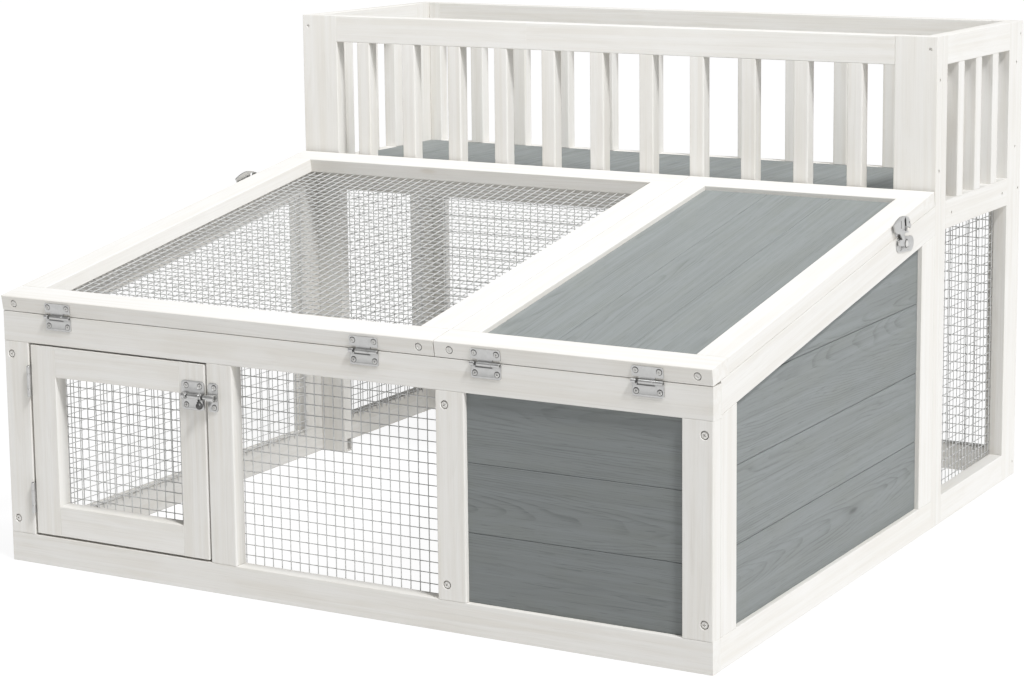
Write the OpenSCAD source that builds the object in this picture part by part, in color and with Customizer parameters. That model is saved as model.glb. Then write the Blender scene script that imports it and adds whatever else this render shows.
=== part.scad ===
// Outdoor rabbit run: a low mesh-sided run under two sloping lids,
// joined to a taller rear section that carries a fenced deck.
// Millimetres. +Z up, +X to the right of someone facing the door, +Y to the back.

/* [Overall size] */
// Width over the two side walls
run_w = 960; // [900:5:1100]
// Depth of the sloping front section
front_d = 640; // [580:5:720]
// Depth of the raised rear section
rear_d = 325; // [300:5:400]
// Height of the front wall, up to the underside of the lids
front_h = 313.5; // [290:0.5:340]
// Slope of the lids in degrees
lid_angle = 9.46; // [7:0.01:11]
// Height of the deck surface
deck_h = 422.5; // [415:0.5:460]
// Height of the fence top
fence_h = 633; // [610:1:760]

/* [Timber] */
// Thickness of every frame board
board_t = 19; // [18:0.5:22]
// Width of the rails and stiles
rail_w = 37; // [34:0.5:40]
// Width of the two front legs of the rear section
leg_w = 57.5; // [50:0.5:70]
// Thickness of the tongue and groove planks
plank_t = 9; // [7:0.5:10]
// How far the planks sit behind the face of their frame
plank_recess = 6; // [4:0.5:8]
// Width of a fence picket
picket_w = 21; // [16:0.5:26]
// Number of pickets in the front and in the back fence
picket_n = 11; // [8:1:12]
// Number of pickets in each side fence
side_picket_n = 3; // [2:1:4]

/* [Front wall] */
// Gap round the door
door_gap = 2.5; // [2.5:0.1:4]
// Width of the door
door_w = 261.5; // [230:0.5:280]
// Width of the shelter bay, from the middle stile to the right wall
shelter_w = 342.2; // [320:0.1:380]
// Height of the door hinges and the bolt above the ground
bolt_z = 236.6; // [180:0.1:237]

/* [Wire mesh] */
// Wire spacing of the welded mesh
mesh_pitch = 12.7; // [10:0.1:25.4]
// Wire diameter
wire_d = 1.1; // [0.8:0.05:1.6]

/* [Fittings] */
// Length of a butt hinge
hinge_w = 38; // [34:0.5:44]
// Travel of the door bolt
bolt_travel = 15.5; // [13:0.5:15.5]

/* [Hidden] */
$fn = 40;
t = board_t;
rw = rail_w;
depth = front_d + rear_d;
ta = tan(lid_angle);
ca = cos(lid_angle);
sa = sin(lid_angle);
wr = wire_d / 2;
lid_lift = 0.3;               // lids lie this far above the walls
lap = 5;                      // how far a mesh sheet laps onto the boards round it
tongue = 5;                   // how far planks run into the grooves of their frame

// front wall stations along X
door_x0 = rw + 3;
door_x1 = door_x0 + door_w;
post_x0 = door_x1 + door_gap;
post_x1 = post_x0 + rw - 0.5;
mid_x0 = run_w - shelter_w;
mid_x1 = mid_x0 + rw;
right_x0 = run_w - rw;
div_x0 = mid_x0 + 2.2;        // partition behind the middle stile
div_x1 = div_x0 + t;
door_z0 = rw + door_gap;
door_z1 = front_h - rw - 2;
door_stile = 37.5;

// side wall stations along Y
sw_y0 = t;
sw_y1 = front_d;
sw_in0 = sw_y0 + 38.5;
sw_in1 = sw_y1 - 43;

// rear section stations
leg_y1 = front_d + t;
bat_y1 = leg_y1 + 17.5;       // end of the narrow batten behind each leg
post_y0 = depth - 53;         // rear stile of each side
back_y0 = depth - t;
top_z0 = fence_h - rw;
mid_z0 = deck_h - rw;
deck_t = 8.8;
bearer_h = 19;
bearer_w = 37;
bearer_y = [front_d + 59, front_d + 252];

// lid stations in the plane of the lids (x across, y up the slope)
lid_len = (front_d - 1.8) / ca;
lid_split = mid_x0;
lid_gap = 1;
lid_front = 38;
lid_rear = 37;
inner_rail = 39;
ml_x1 = lid_split - lid_gap / 2;
sl_x0 = lid_split + lid_gap / 2;

// lid hinges
hx_y = -3.1;                  // hinge axis in front of the wall
hx_z = front_h - 1.6;
hk_r = 2.6;                   // knuckle radius
pin_r = 1.3;
bore_r = 1.35;
leaf_t = 1.2;
hinge_x_mesh = [86.4, mid_x0 - 92.2];
hinge_x_shelter = [mid_x0 + 66.7, run_w - 76.3];

// door hinges
dh_x = rw + 1.5;
dh_y = -2.9;
dh_r = 2.4;
dh_z = [84, bolt_z - 7.1];

// bolt on the door
rod_r = 2.9;
rod_y = -5.2;
base_x0 = door_x1 - 33.2;
base_x1 = door_x1 - 0.5;
base_z = bolt_z;
base_scr = [base_x0 + 6.9, base_x1 - 6.2];
knob_x = base_x1 - 5.75;
knob_len = 10.5;
knob_a = 16.55;               // lean of the knob away from the door
knob_b = 20;                  // lean of the knob towards the keeper
knob_r = 4.2;
front_reach = knob_len * sin(knob_a) + knob_r - rod_y;
y_mid = (depth - front_reach) / 2;

// side latches, placed along the joint between lid and wall
la_p = [[524, -11.2], [535, -13]];   // hook pivots, left and right: along the slope, and below the joint
st_x = 0.3;                   // keeper stud, from the pivot
st_y = 18.5;
keeper_scr = [[-17, 24], [12, 24]];
plate_scr = [[-9.5, -2.5], [13.5, -8.5]];

white = [0.93, 0.92, 0.90];
grey = [0.50, 0.53, 0.54];
zinc = [0.74, 0.75, 0.76];

// ---------- helpers ----------

// moves the drawing frame (front left bottom corner) to the middle of the base
module place() { translate([-run_w / 2, -y_mid, 0]) children(); }
// frame of the lids: y runs up the slope, z is square to it, z = 0 is the underside
module slope() { translate([0, 0, front_h]) rotate([lid_angle, 0, 0]) children(); }
// the same frame, raised to where the lid boards lie
module lid_frame() { slope() translate([0, 0, lid_lift]) children(); }
// frame of the latches: x outwards from the wall, y up the slope, z square to it, from the hook pivot
module latch_frame(side) {
  translate([side < 0 ? 0 : run_w, 0, front_h]) rotate([lid_angle, 0, 0])
    translate([0, la_p[side < 0 ? 0 : 1][0], la_p[side < 0 ? 0 : 1][1]]) mirror([side < 0 ? 1 : 0, 0, 0]) children();
}
module box(a, b) { translate(a) cube([b[0] - a[0], b[1] - a[1], b[2] - a[2]]); }
module rod_x(p, r, l) { translate(p) rotate([0, 90, 0]) cylinder(r = r, h = l); }
module rod_y(p, r, l) { translate(p) rotate([-90, 0, 0]) cylinder(r = r, h = l); }
module rod_z(p, r, l) { translate(p) cylinder(r = r, h = l); }
module cone_x(p, r1, r2, l) { translate(p) rotate([0, 90, 0]) cylinder(r1 = r1, r2 = r2, h = l); }
module cone_y(p, r1, r2, l) { translate(p) rotate([-90, 0, 0]) cylinder(r1 = r1, r2 = r2, h = l); }
function joint_z(y) = front_h + ta * y;          // height of the lid underside at depth y
function rail_z(y) = joint_z(y) - rw / ca;       // lower edge of the sloping rails
// a board seen from the side: polygon in Y and Z, x0 to x1 thick
module side_board(x0, x1, pts) {
  translate([x0, 0, 0]) rotate([90, 0, 90]) linear_extrude(x1 - x0) polygon(pts);
}
// wires from a to b in steps of the pitch, laid out from station s
function first(a, s) = ceil((a + wr - s) / mesh_pitch);
function last(b, s) = floor((b - wr - s) / mesh_pitch);

// mesh sheet parallel to the front wall; f is the board face that it lies on, d its way out
module mesh_xz(x0, x1, z0, z1, f, d, xs, zs) {
  for (i = [first(x0, xs) : last(x1, xs)])
    rod_z([xs + i * mesh_pitch, f + d * (wr + 0.05), z0], wr, z1 - z0);
  for (i = [first(z0, zs) : last(z1, zs)])
    rod_x([x0, f + d * (3 * wr + 0.08), zs + i * mesh_pitch], wr, x1 - x0);
}
// mesh sheet parallel to the side walls, cut at the top by the line top(y) = k0 + k1 * y
module mesh_yz(y0, y1, z0, k0, k1, f, d, ys, zs) {
  for (i = [first(y0, ys) : last(y1, ys)]) let (y = ys + i * mesh_pitch)
    rod_z([f + d * (wr + 0.05), y, z0], wr, k0 + k1 * (y - wr) - z0);
  for (i = [first(z0, zs) : last(k0 + k1 * y1, zs)]) let (z = zs + i * mesh_pitch,
      ya = k1 > 0 ? max(y0, (z + wr - k0) / k1) : y0)
    if (y1 - ya > 4) rod_y([f + d * (3 * wr + 0.08), ya, z], wr, y1 - ya);
}

// one plank, chamfered along its visible long edges; w along x, l along y, face up
module plank(w, l, c = 1.4) {
  rotate([-90, 0, 0]) mirror([0, 1, 0]) linear_extrude(l)
    polygon([[0, 0], [w, 0], [w, plank_t - c], [w - c, plank_t], [c, plank_t], [0, plank_t - c]]);
}
// the same plank on edge: length along x, width up z, face to -y
module plank_xz(x0, l, z0, w, y, c = 1.4) {
  translate([x0, y, z0]) rotate([90, 0, 90]) linear_extrude(l)
    polygon([[0, c], [c, 0], [plank_t, 0], [plank_t, w], [c, w], [0, w - c]]);
}
// pan head wood screw on the y axis, head towards -y, face of the head at y = 0
module pan_screw(r, rs, l, hh = 2.2) {
  difference() {
    rotate([-90, 0, 0]) cylinder(r1 = r * 0.72, r2 = r, h = hh * 0.45);
    translate([-r * 0.62, -0.1, -0.45]) cube([r * 1.24, 0.7, 0.9]);
    translate([-0.45, -0.1, -r * 0.62]) cube([0.9, 0.7, r * 1.24]);
  }
  rod_y([0, hh * 0.45, 0], r, hh * 0.55);
  rod_y([0, hh, 0], rs, l);
}
// countersunk wood screw on the y axis, head towards -y, face of the head at y = 0
module csk_screw(l) {
  difference() {
    union() {
      rod_y([0, 0, 0], 3, 0.15);
      cone_y([0, 0.15, 0], 3, 1.2, 1.8);
    }
    translate([-1.8, -0.1, -0.38]) cube([3.6, 0.6, 0.76]);
    translate([-0.38, -0.1, -1.8]) cube([0.76, 0.6, 3.6]);
  }
  rod_y([0, 1.94, 0], 1.2, l);
}
// pilot hole and dish for it in the timber at y = 0, and its dish in a plate that lies on the timber
module csk_bore(x, z) { rod_y([x, -1, z], 1.25, 14); cone_y([x, -0.05, z], 2.55, 1.2, 1.35); }
module csk_dish(x, z) { cone_y([x, -1.25, z], 3.6, 2.45, 1.3); }

// ---------- screw positions ----------
scr_z = [54.6, 260.6];
scr_x = [t / 2 + 1, div_x0 + t / 2, run_w - t / 2 - 1];
module frame_bores(extra = 0) {
  for (x = scr_x) for (z = scr_z) {
    rod_y([x, -1, z], 4.9, 4);
    rod_y([x, 0, z], 2.05, 52);
  }
}
// screws from the sides into the rear section: depth y, height z and length
rear_scr = [
  [front_d + t / 2 + 1.5, fence_h - 55, 30], [front_d + t / 2 + 1.5, fence_h - 170, 30],
  [depth - 24.5, fence_h - 55, 15], [depth - 24.5, fence_h - 170, 15],
  [bearer_y[0], deck_h - deck_t - bearer_h / 2, 30], [bearer_y[1], deck_h - deck_t - bearer_h / 2, 30],
  [depth - 9.5, fence_h - rw / 2 + 1, 30], [depth - 9.5, deck_h - rw / 2, 30], [depth - 9.5, rw / 2, 30]];
module rear_bores() {
  for (p = rear_scr) {
    rod_x([-1, p[0], p[1]], 2.05, p[2] + 3);
    rod_x([run_w - p[2] - 2, p[0], p[1]], 2.05, p[2] + 3);
  }
  for (x = [9.6, run_w - 9.6]) rod_y([x, front_d - 1, top_z0 + 21], 2.05, 34);
}
lid_scr_x = [18, ml_x1 - inner_rail / 2, sl_x0 + inner_rail / 2, run_w - 18];
module lid_bores(x) {
  rod_y([x, -1, t / 2], 4.2, 2.5);
  rod_y([x, 0, t / 2], 2.05, 62);
}
module hinge_wall_bores() {
  for (x = concat(hinge_x_mesh, hinge_x_shelter)) for (s = [-1, 1]) csk_bore(x + s * 14.1, hx_z - 10.7);
}
module hinge_lid_bores(xs) {
  for (x = xs) for (s = [-1, 1]) csk_bore(x + s * 14.1, 10.3);
}

// ---------- front wall ----------
module front_bottom_rail() color(white) place() difference() {
  box([0, 0, 0], [run_w, t, rw]);
  box([mid_x1 - tongue, plank_recess - 0.1, rw - tongue - 0.3], [right_x0 + tongue, plank_recess + plank_t + 0.1, rw + 1]);
}
module front_top_rail() color(white) place() difference() {
  box([0, 0, front_h - rw], [run_w, t, front_h]);
  box([mid_x1 - tongue, plank_recess - 0.1, front_h - rw - 1], [right_x0 + tongue, plank_recess + plank_t + 0.1, front_h - rw + tongue + 0.3]);
  hinge_wall_bores();
}
module front_left_stile() color(white) place() difference() {
  box([0, 0, rw], [rw, t, front_h - rw]);
  frame_bores();
  for (z = dh_z) for (s = [-12, 12]) rod_x([rw - 12, 9, z + s], 1.25, 13);
}
module front_door_post() color(white) place() difference() {
  box([post_x0, 0, rw], [post_x1, t, front_h - rw]);
  for (s = [-11.6, 11.6]) csk_bore(post_x0 + 11.2, base_z + s);
}
module front_middle_stile() color(white) place() difference() {
  box([mid_x0, 0, rw], [mid_x1, t, front_h - rw]);
  box([mid_x1 - tongue - 0.3, plank_recess - 0.1, rw - 1], [mid_x1 + 1, plank_recess + plank_t + 0.1, front_h]);
  frame_bores();
}
module front_right_stile() color(white) place() difference() {
  box([right_x0, 0, rw], [run_w, t, front_h - rw]);
  box([right_x0 - 1, plank_recess - 0.1, rw - 1], [right_x0 + tongue + 0.3, plank_recess + plank_t + 0.1, front_h]);
  frame_bores();
}
module front_mesh() color(zinc) place()
  mesh_xz(post_x1 - lap, mid_x0 + 1.6, rw - lap, front_h - rw + lap, t, 1, post_x1 + 12.7, rw + 8.8);
module front_planks() color(grey) place() {
  z0 = rw - tongue; z1 = front_h - rw + tongue; s = (front_h - 2 * rw) / 3;
  x0 = mid_x1 - tongue; l = right_x0 + tongue - x0;
  zs = [z0, rw + s, rw + 2 * s, z1];
  for (i = [0 : 2]) plank_xz(x0, l, zs[i] + 0.05, zs[i + 1] - zs[i] - 0.1, plank_recess);
}

// ---------- side walls of the front section ----------
module wall_rails(x0, x1) {
  box([x0, sw_y0, 0], [x1, sw_y1, rw]);
  side_board(x0, x1, [[sw_y0, rail_z(sw_y0)], [sw_y1, rail_z(sw_y1)], [sw_y1, joint_z(sw_y1)], [sw_y0, joint_z(sw_y0)]]);
}
module wall_stiles(x0, x1) {
  side_board(x0, x1, [[sw_y0, rw], [sw_in0, rw], [sw_in0, rail_z(sw_in0)], [sw_y0, rail_z(sw_y0)]]);
  side_board(x0, x1, [[sw_in1, rw], [sw_y1, rw], [sw_y1, rail_z(sw_y1)], [sw_in1, rail_z(sw_in1)]]);
}
module latch_bores(side) {
  latch_frame(side) for (q = plate_scr) { rod_x([-12, q[0], q[1]], 1.25, 13); cone_x([-1.3, q[0], q[1]], 1.2, 2.55, 1.35); }
}
module left_wall_rails() color(white) place() difference() { wall_rails(0, t); latch_bores(-1); }
module left_wall_stiles() color(white) place() difference() { wall_stiles(0, t); frame_bores(); }
module left_wall_mesh() color(zinc) place()
  mesh_yz(sw_in0 - lap, sw_in1 + lap, rw - lap, front_h - rw / ca + lap, ta, t, 1, sw_in0 + 4, rw + 4);
module right_wall_rails() color(white) place() difference() {
  wall_rails(run_w - t, run_w);
  box([run_w - plank_recess - plank_t - 0.1, sw_in0 - tongue, rw - tongue - 0.3], [run_w - plank_recess + 0.1, sw_in1 + tongue, rw + 1]);
  latch_bores(1);
}
module right_wall_stiles() color(white) place() difference() {
  wall_stiles(run_w - t, run_w);
  box([run_w - plank_recess - plank_t - 0.1, sw_in0 - tongue - 0.3, rw - 1], [run_w - plank_recess + 0.1, sw_in1 + tongue + 0.3, 2 * front_h]);
  frame_bores();
}
// plank k of the right wall, counted from the bottom, cut by the sloping rail
module wall_plank(x0, y0, y1, za, zb, k) {
  c = 1.4; x1 = x0 + plank_t;
  intersection() {
    translate([0, y0, 0]) rotate([90, 0, 90]) translate([0, 0, x0]) linear_extrude(plank_t)
      polygon([[0, za], [y1 - y0, za], [y1 - y0, min(zb, rail_z(y1))], [max(0, (min(zb, rail_z(y1)) - rail_z(y0)) / ta), min(zb, rail_z(y1))],
               [0, min(zb, rail_z(y0))]]);
    translate([0, y0, za]) rotate([-90, 0, 0]) mirror([0, 1, 0]) linear_extrude(y1 - y0)
      polygon([[x0, 0], [x1 - (k > 0 ? c : 0), 0], [x1, k > 0 ? c : 0], [x1, zb - za - c], [x1 - c, zb - za], [x0, zb - za]]);
  }
}
module right_wall_planks() color(grey) place() {
  x0 = run_w - plank_recess - plank_t;
  y0 = sw_in0 - tongue; y1 = sw_in1 + tongue;
  zs = [rw - tongue, rw + 87.5, rw + 176, rw + 264.5, rail_z(y1) + 0.1];
  for (k = [0 : 3]) wall_plank(x0, y0, y1, zs[k] + 0.05, zs[k + 1] - 0.05, k);
}

// ---------- partition inside, between the run and the shelter ----------
pd_y0 = 330;                  // post in front of the doorway
pd_y1 = sw_y1 - rw;           // far side of the doorway
module partition_frame() color(white) place() difference() {
  union() {
    box([div_x0, t, 0], [div_x1, sw_y1, rw]);
    side_board(div_x0, div_x1, [[t, rail_z(t)], [sw_y1, rail_z(sw_y1)], [sw_y1, joint_z(sw_y1)], [t, joint_z(t)]]);
    for (y = [t, pd_y0, pd_y1]) side_board(div_x0, div_x1,
      [[y, rw - 5], [y + rw, rw - 5], [y + rw, rail_z(y + rw) + 10], [y, rail_z(y) + 10]]);
  }
  frame_bores();
}
module partition_planks() color(grey) place() {
  y0 = t + rw; y1 = pd_y0;
  zs = [rw, rw + 88, rw + 176, rail_z(y1)];
  for (k = [0 : 2]) wall_plank(div_x0 + 5, y0, y1, zs[k] + 0.05, zs[k + 1] - 0.05, k);
}

// ---------- rear section ----------
module rear_legs() color(white) place() difference() {
  union() {
    box([0, front_d, 0], [leg_w, leg_y1, fence_h]);
    box([run_w - leg_w, front_d, 0], [run_w, leg_y1, fence_h]);
  }
  // empty mortise at the foot of each leg
  box([leg_w - 14, front_d + 6, 2], [leg_w + 1, front_d + 15.5, 19]);
  box([run_w - leg_w - 1, front_d + 6, 2], [run_w - leg_w + 14, front_d + 15.5, 19]);
  rear_bores();
}
module rear_front_rails() color(white) place() {
  box([leg_w, front_d, top_z0], [run_w - leg_w, leg_y1, fence_h]);
  box([leg_w, front_d, mid_z0], [run_w - leg_w, leg_y1, deck_h]);
}
picket_x0 = 91.2;
picket_step = (run_w - 960) / (picket_n - 1) + 747 / (picket_n - 1);
module picket_row(y) {
  for (i = [0 : picket_n - 1]) box([picket_x0 + i * picket_step, y, deck_h], [picket_x0 + i * picket_step + picket_w, y + t, top_z0]);
}
module front_pickets() color(white) place() picket_row(front_d);
module rear_side_frame(x0, x1) {
  box([x0, leg_y1, 0], [x1, bat_y1, fence_h]);
  box([x0, post_y0, 0], [x1, depth, fence_h]);
  for (z = [[0, rw], [mid_z0, deck_h], [top_z0, fence_h]]) box([x0, bat_y1, z[0]], [x1, post_y0, z[1]]);
}
side_step = (post_y0 - bat_y1 + 23.5) / (side_picket_n + 1);
module side_pickets(x0, x1) {
  for (i = [1 : side_picket_n]) let (y = bat_y1 + i * side_step - 23.5)
    box([x0, y, deck_h], [x1, y + picket_w, top_z0]);
}
module rear_left_frame() color(white) place() difference() { rear_side_frame(0, t); rear_bores(); }
module rear_right_frame() color(white) place() difference() { rear_side_frame(run_w - t, run_w); rear_bores(); }
module rear_left_pickets() color(white) place() side_pickets(0, t);
module rear_right_pickets() color(white) place() side_pickets(run_w - t, run_w);
module rear_left_mesh() color(zinc) place()
  mesh_yz(bat_y1 - lap, post_y0 + lap, rw - lap, mid_z0 + lap, 0, t, 1, bat_y1 + 4, rw + 4);
module rear_right_mesh() color(zinc) place()
  mesh_yz(bat_y1 - lap, post_y0 + lap, rw - lap, mid_z0 + lap, 0, run_w - t, -1, bat_y1 + 4, rw + 4);
module back_frame() color(white) place() difference() {
  union() {
    for (z = [[0, rw], [mid_z0, deck_h], [top_z0, fence_h]]) box([2 * t, back_y0, z[0]], [run_w - 2 * t, depth, z[1]]);
    box([t, back_y0, 0], [2 * t, depth, fence_h]);
    box([run_w - 2 * t, back_y0, 0], [run_w - t, depth, fence_h]);
  }
  rear_bores();
}
module back_pickets() color(white) place() picket_row(back_y0);
module back_mesh() color(zinc) place()
  mesh_xz(2 * t - lap, run_w - 2 * t + lap, rw - lap, mid_z0 + lap, back_y0, -1, 2 * t + 4, rw + 4);
module deck_bearers() color(white) place() difference() {
  for (y = bearer_y) box([t, y - bearer_w / 2, deck_h - deck_t - bearer_h], [run_w - t, y + bearer_w / 2, deck_h - deck_t]);
  rear_bores();
}
module deck_planks() color(grey) place() {
  n = 10; w = (run_w - 2 * t) / n; c = 1.2;
  for (i = [0 : n - 1]) translate([t + i * w + 0.1, leg_y1 + 0.2, deck_h - deck_t]) rotate([-90, 0, 0]) mirror([0, 1, 0])
    linear_extrude(back_y0 - leg_y1 - 0.4) polygon([[0, 0], [w - 0.2, 0], [w - 0.2, deck_t - c], [w - 0.2 - c, deck_t], [c, deck_t], [0, deck_t - c]]);
}

// ---------- lids ----------
module lid_cross_rails(x0, x1) {
  box([x0, 0, 0], [x1, lid_front, t]);
  box([x0, lid_len - lid_rear, 0], [x1, lid_len, t]);
}
module lid_side_rails(x0, x1, wl, wrr) {
  box([x0, lid_front, 0], [x0 + wl, lid_len - lid_rear, t]);
  box([x1 - wrr, lid_front, 0], [x1, lid_len - lid_rear, t]);
}
// holes in the lid edge for the screws of the latch keeper
module lid_latch_bores(side) {
  i = side < 0 ? 0 : 1;
  mirror([i, 0, 0]) translate([-i * run_w, la_p[i][0], la_p[i][1] - lid_lift])
    for (q = keeper_scr) { rod_x([-1, q[0], q[1]], 1.25, 12); cone_x([-0.05, q[0], q[1]], 2.55, 1.2, 1.35); }
}
module mesh_lid_cross_rails() color(white) place() lid_frame() difference() {
  lid_cross_rails(0, ml_x1);
  lid_bores(lid_scr_x[0]); lid_bores(lid_scr_x[1]);
  hinge_lid_bores(hinge_x_mesh);
}
module mesh_lid_side_rails() color(white) place() lid_frame() difference() {
  lid_side_rails(0, ml_x1, rw, inner_rail);
  lid_bores(lid_scr_x[0]); lid_bores(lid_scr_x[1]);
  lid_latch_bores(-1);
}
module mesh_lid_mesh() color(zinc) place() lid_frame() {
  x0 = rw - lap; x1 = ml_x1 - inner_rail + lap; y0 = lid_front - lap; y1 = lid_len - lid_rear + lap;
  xs = rw + 6; ys = lid_front + 5;
  for (i = [first(x0, xs) : last(x1, xs)]) rod_y([xs + i * mesh_pitch, y0, -wr - 0.05], wr, y1 - y0);
  for (i = [first(y0, ys) : last(y1, ys)]) rod_x([x0, ys + i * mesh_pitch, -3 * wr - 0.08], wr, x1 - x0);
}
module shelter_lid_cross_rails() color(white) place() lid_frame() difference() {
  lid_cross_rails(sl_x0, run_w);
  box([sl_x0 + inner_rail - tongue, lid_front - tongue - 0.3, t - plank_recess - plank_t - 0.1],
      [run_w - rw + tongue, lid_len - lid_rear + tongue + 0.3, t - plank_recess + 0.1]);
  lid_bores(lid_scr_x[2]); lid_bores(lid_scr_x[3]);
  hinge_lid_bores(hinge_x_shelter);
}
module shelter_lid_side_rails() color(white) place() lid_frame() difference() {
  lid_side_rails(sl_x0, run_w, inner_rail, rw);
  box([sl_x0 + inner_rail - tongue - 0.3, lid_front - 1, t - plank_recess - plank_t - 0.1],
      [run_w - rw + tongue + 0.3, lid_len - lid_rear + 1, t - plank_recess + 0.1]);
  lid_bores(lid_scr_x[2]); lid_bores(lid_scr_x[3]);
  lid_latch_bores(1);
}
module shelter_lid_planks() color(grey) place() lid_frame() {
  xa = sl_x0 + inner_rail; xb = run_w - rw; s = (xb - xa) / 3;
  xs = [xa - tongue, xa + s, xa + 2 * s, xb + tongue];
  for (i = [0 : 2]) translate([xs[i] + 0.05, lid_front - tongue, t - plank_recess - plank_t])
    plank(xs[i + 1] - xs[i] - 0.1, lid_len - lid_front - lid_rear + 2 * tongue);
}

// ---------- door ----------
module door_stiles() color(white) place() difference() {
  union() {
    box([door_x0, 0, door_z0], [door_x0 + door_stile, t, door_z1]);
    box([door_x1 - door_stile, 0, door_z0], [door_x1, t, door_z1]);
  }
  for (z = dh_z) for (s = [-12, 12]) rod_x([door_x0 - 1, 9, z + s], 1.25, 13);
  for (x = base_scr) for (s = [-11.6, 11.6]) csk_bore(x, base_z + s);
}
module door_rails() color(white) place() for (z = [door_z0, door_z1 - door_stile])
  box([door_x0 + door_stile, 0, z], [door_x1 - door_stile, t, z + door_stile]);
module door_mesh() color(zinc) place()
  mesh_xz(door_x0 + door_stile - lap, door_x1 - door_stile + lap, door_z0 + door_stile - lap, door_z1 - door_stile + lap,
          t, 1, door_x0 + door_stile + 6, door_z0 + door_stile + 6);

// ---------- lid hinges ----------
// wall leaf: plate on the wall, outer knuckles
module wall_leaf(x) {
  a = hinge_w / 2; k0 = -a + 9; k1 = a - 11;
  difference() {
    union() {
      box([x - a, -leaf_t, hx_z - 16.3], [x + a, 0, hx_z - 3.6]);
      box([x - a, -leaf_t, hx_z - 4], [x + k0 - 2, 0, hx_z]);
      box([x + k1 + 0.3, -leaf_t, hx_z - 4], [x + a, 0, hx_z]);
      rod_x([x - a, hx_y, hx_z], hk_r, a + k0 - 2);
      rod_x([x + k1 + 0.3, hx_y, hx_z], hk_r, a - k1 - 0.3);
    }
    rod_x([x - a - 1, hx_y, hx_z], bore_r, hinge_w + 2);
    for (s = [-1, 1]) csk_dish(x + s * 14.1, hx_z - 10.7);
  }
}
// lid leaf, drawn in the frame of the lids: plate on the lid edge, middle knuckle
lx_y = hx_y * ca + (hx_z - front_h) * sa;
lx_z = -hx_y * sa + (hx_z - front_h) * ca - lid_lift;
module lid_leaf(x) {
  a = hinge_w / 2; k0 = -a + 9; k1 = a - 11;
  difference() {
    union() {
      box([x - a, -leaf_t, 1.6], [x + a, 0, 15.2]);
      box([x + k0, -leaf_t, lx_z], [x + k1, -0.4, 2]);
      rod_x([x + k0, lx_y, lx_z], hk_r, k1 - k0);
    }
    rod_x([x - a - 1, lx_y, lx_z], bore_r, hinge_w + 2);
    for (s = [-1, 1]) csk_dish(x + s * 14.1, 10.3);
  }
}
module lid_hinge_wall_leaves() color(zinc) place() for (x = concat(hinge_x_mesh, hinge_x_shelter)) wall_leaf(x);
module mesh_lid_hinge_leaves() color(zinc) place() lid_frame() for (x = hinge_x_mesh) lid_leaf(x);
module shelter_lid_hinge_leaves() color(zinc) place() lid_frame() for (x = hinge_x_shelter) lid_leaf(x);
module lid_hinge_pins() color(zinc) place() for (x = concat(hinge_x_mesh, hinge_x_shelter))
  rod_x([x - hinge_w / 2 - 0.4, hx_y, hx_z], pin_r, hinge_w + 0.8);

// ---------- door hinges ----------
module door_leaf(z, fixed) {
  a = hinge_w / 2; k = 9.3;
  px = fixed ? rw : door_x0 - 1.1;
  difference() {
    union() {
      box([px, fixed ? -0.4 : -0.4, z - a], [px + 1.1, 16, z + a]);
      if (fixed) {
        box([px, dh_y, z - a], [px + 1.1, 0, z - k - 0.3]);
        box([px, dh_y, z + k + 0.3], [px + 1.1, 0, z + a]);
        rod_z([dh_x, dh_y, z - a], dh_r, a - k - 0.3);
        rod_z([dh_x, dh_y, z + k + 0.3], dh_r, a - k - 0.3);
      } else {
        box([px, dh_y, z - k], [px + 1.1, 0, z + k]);
        rod_z([dh_x, dh_y, z - k], dh_r, 2 * k);
      }
    }
    rod_z([dh_x, dh_y, z - a - 1], bore_r, hinge_w + 2);
    for (s = [-12, 12]) rod_x([px - 1, 9, z + s], 1.3, 4);
  }
}
module door_hinge_frame_leaves() color(zinc) place() for (z = dh_z) door_leaf(z, true);
module door_hinge_door_leaves() color(zinc) place() for (z = dh_z) door_leaf(z, false);
module door_hinge_pins() color(zinc) place() for (z = dh_z) rod_z([dh_x, dh_y, z - hinge_w / 2 - 0.4], pin_r, hinge_w + 0.8);

// ---------- bolt ----------
module strap(x, w, r, b) {
  difference() {
    union() {
      rod_x([x, rod_y, base_z], r, w);
      box([x, rod_y, base_z - r], [x + w, -0.5, base_z + r]);
    }
    rod_x([x - 1, rod_y, base_z], b, w + 2);
  }
}
module round_plate(x0, x1, z0, z1, r) {
  rotate([90, 0, 0]) linear_extrude(1.2) union() {
    translate([x0 + r, z0]) square([x1 - x0 - 2 * r, z1 - z0]);
    translate([x0, z0 + r]) square([x1 - x0, z1 - z0 - 2 * r]);
    for (x = [x0 + r, x1 - r]) for (z = [z0 + r, z1 - r]) translate([x, z]) circle(r);
  }
}
module bolt_base() color(zinc) place() difference() {
  union() {
    round_plate(base_x0, base_x1, base_z - 17.3, base_z + 17.3, 4);
    strap(base_x0 + 3.9, 4.8, 3.9, rod_r + 0.06);
    strap(base_x1 - 2.4, 2.4, 3.9, rod_r + 0.06);
  }
  for (x = base_scr) for (s = [-11.6, 11.6]) csk_dish(x, base_z + s);
}
rod_x0 = base_x0 + 4.4;
rod_x1 = door_x1 + bolt_travel - 0.2;   // far enough back in its keeper to come free of the post
module bolt_rod() color(zinc) place() rod_x([rod_x0, rod_y, base_z], rod_r, rod_x1 - rod_x0);
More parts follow.
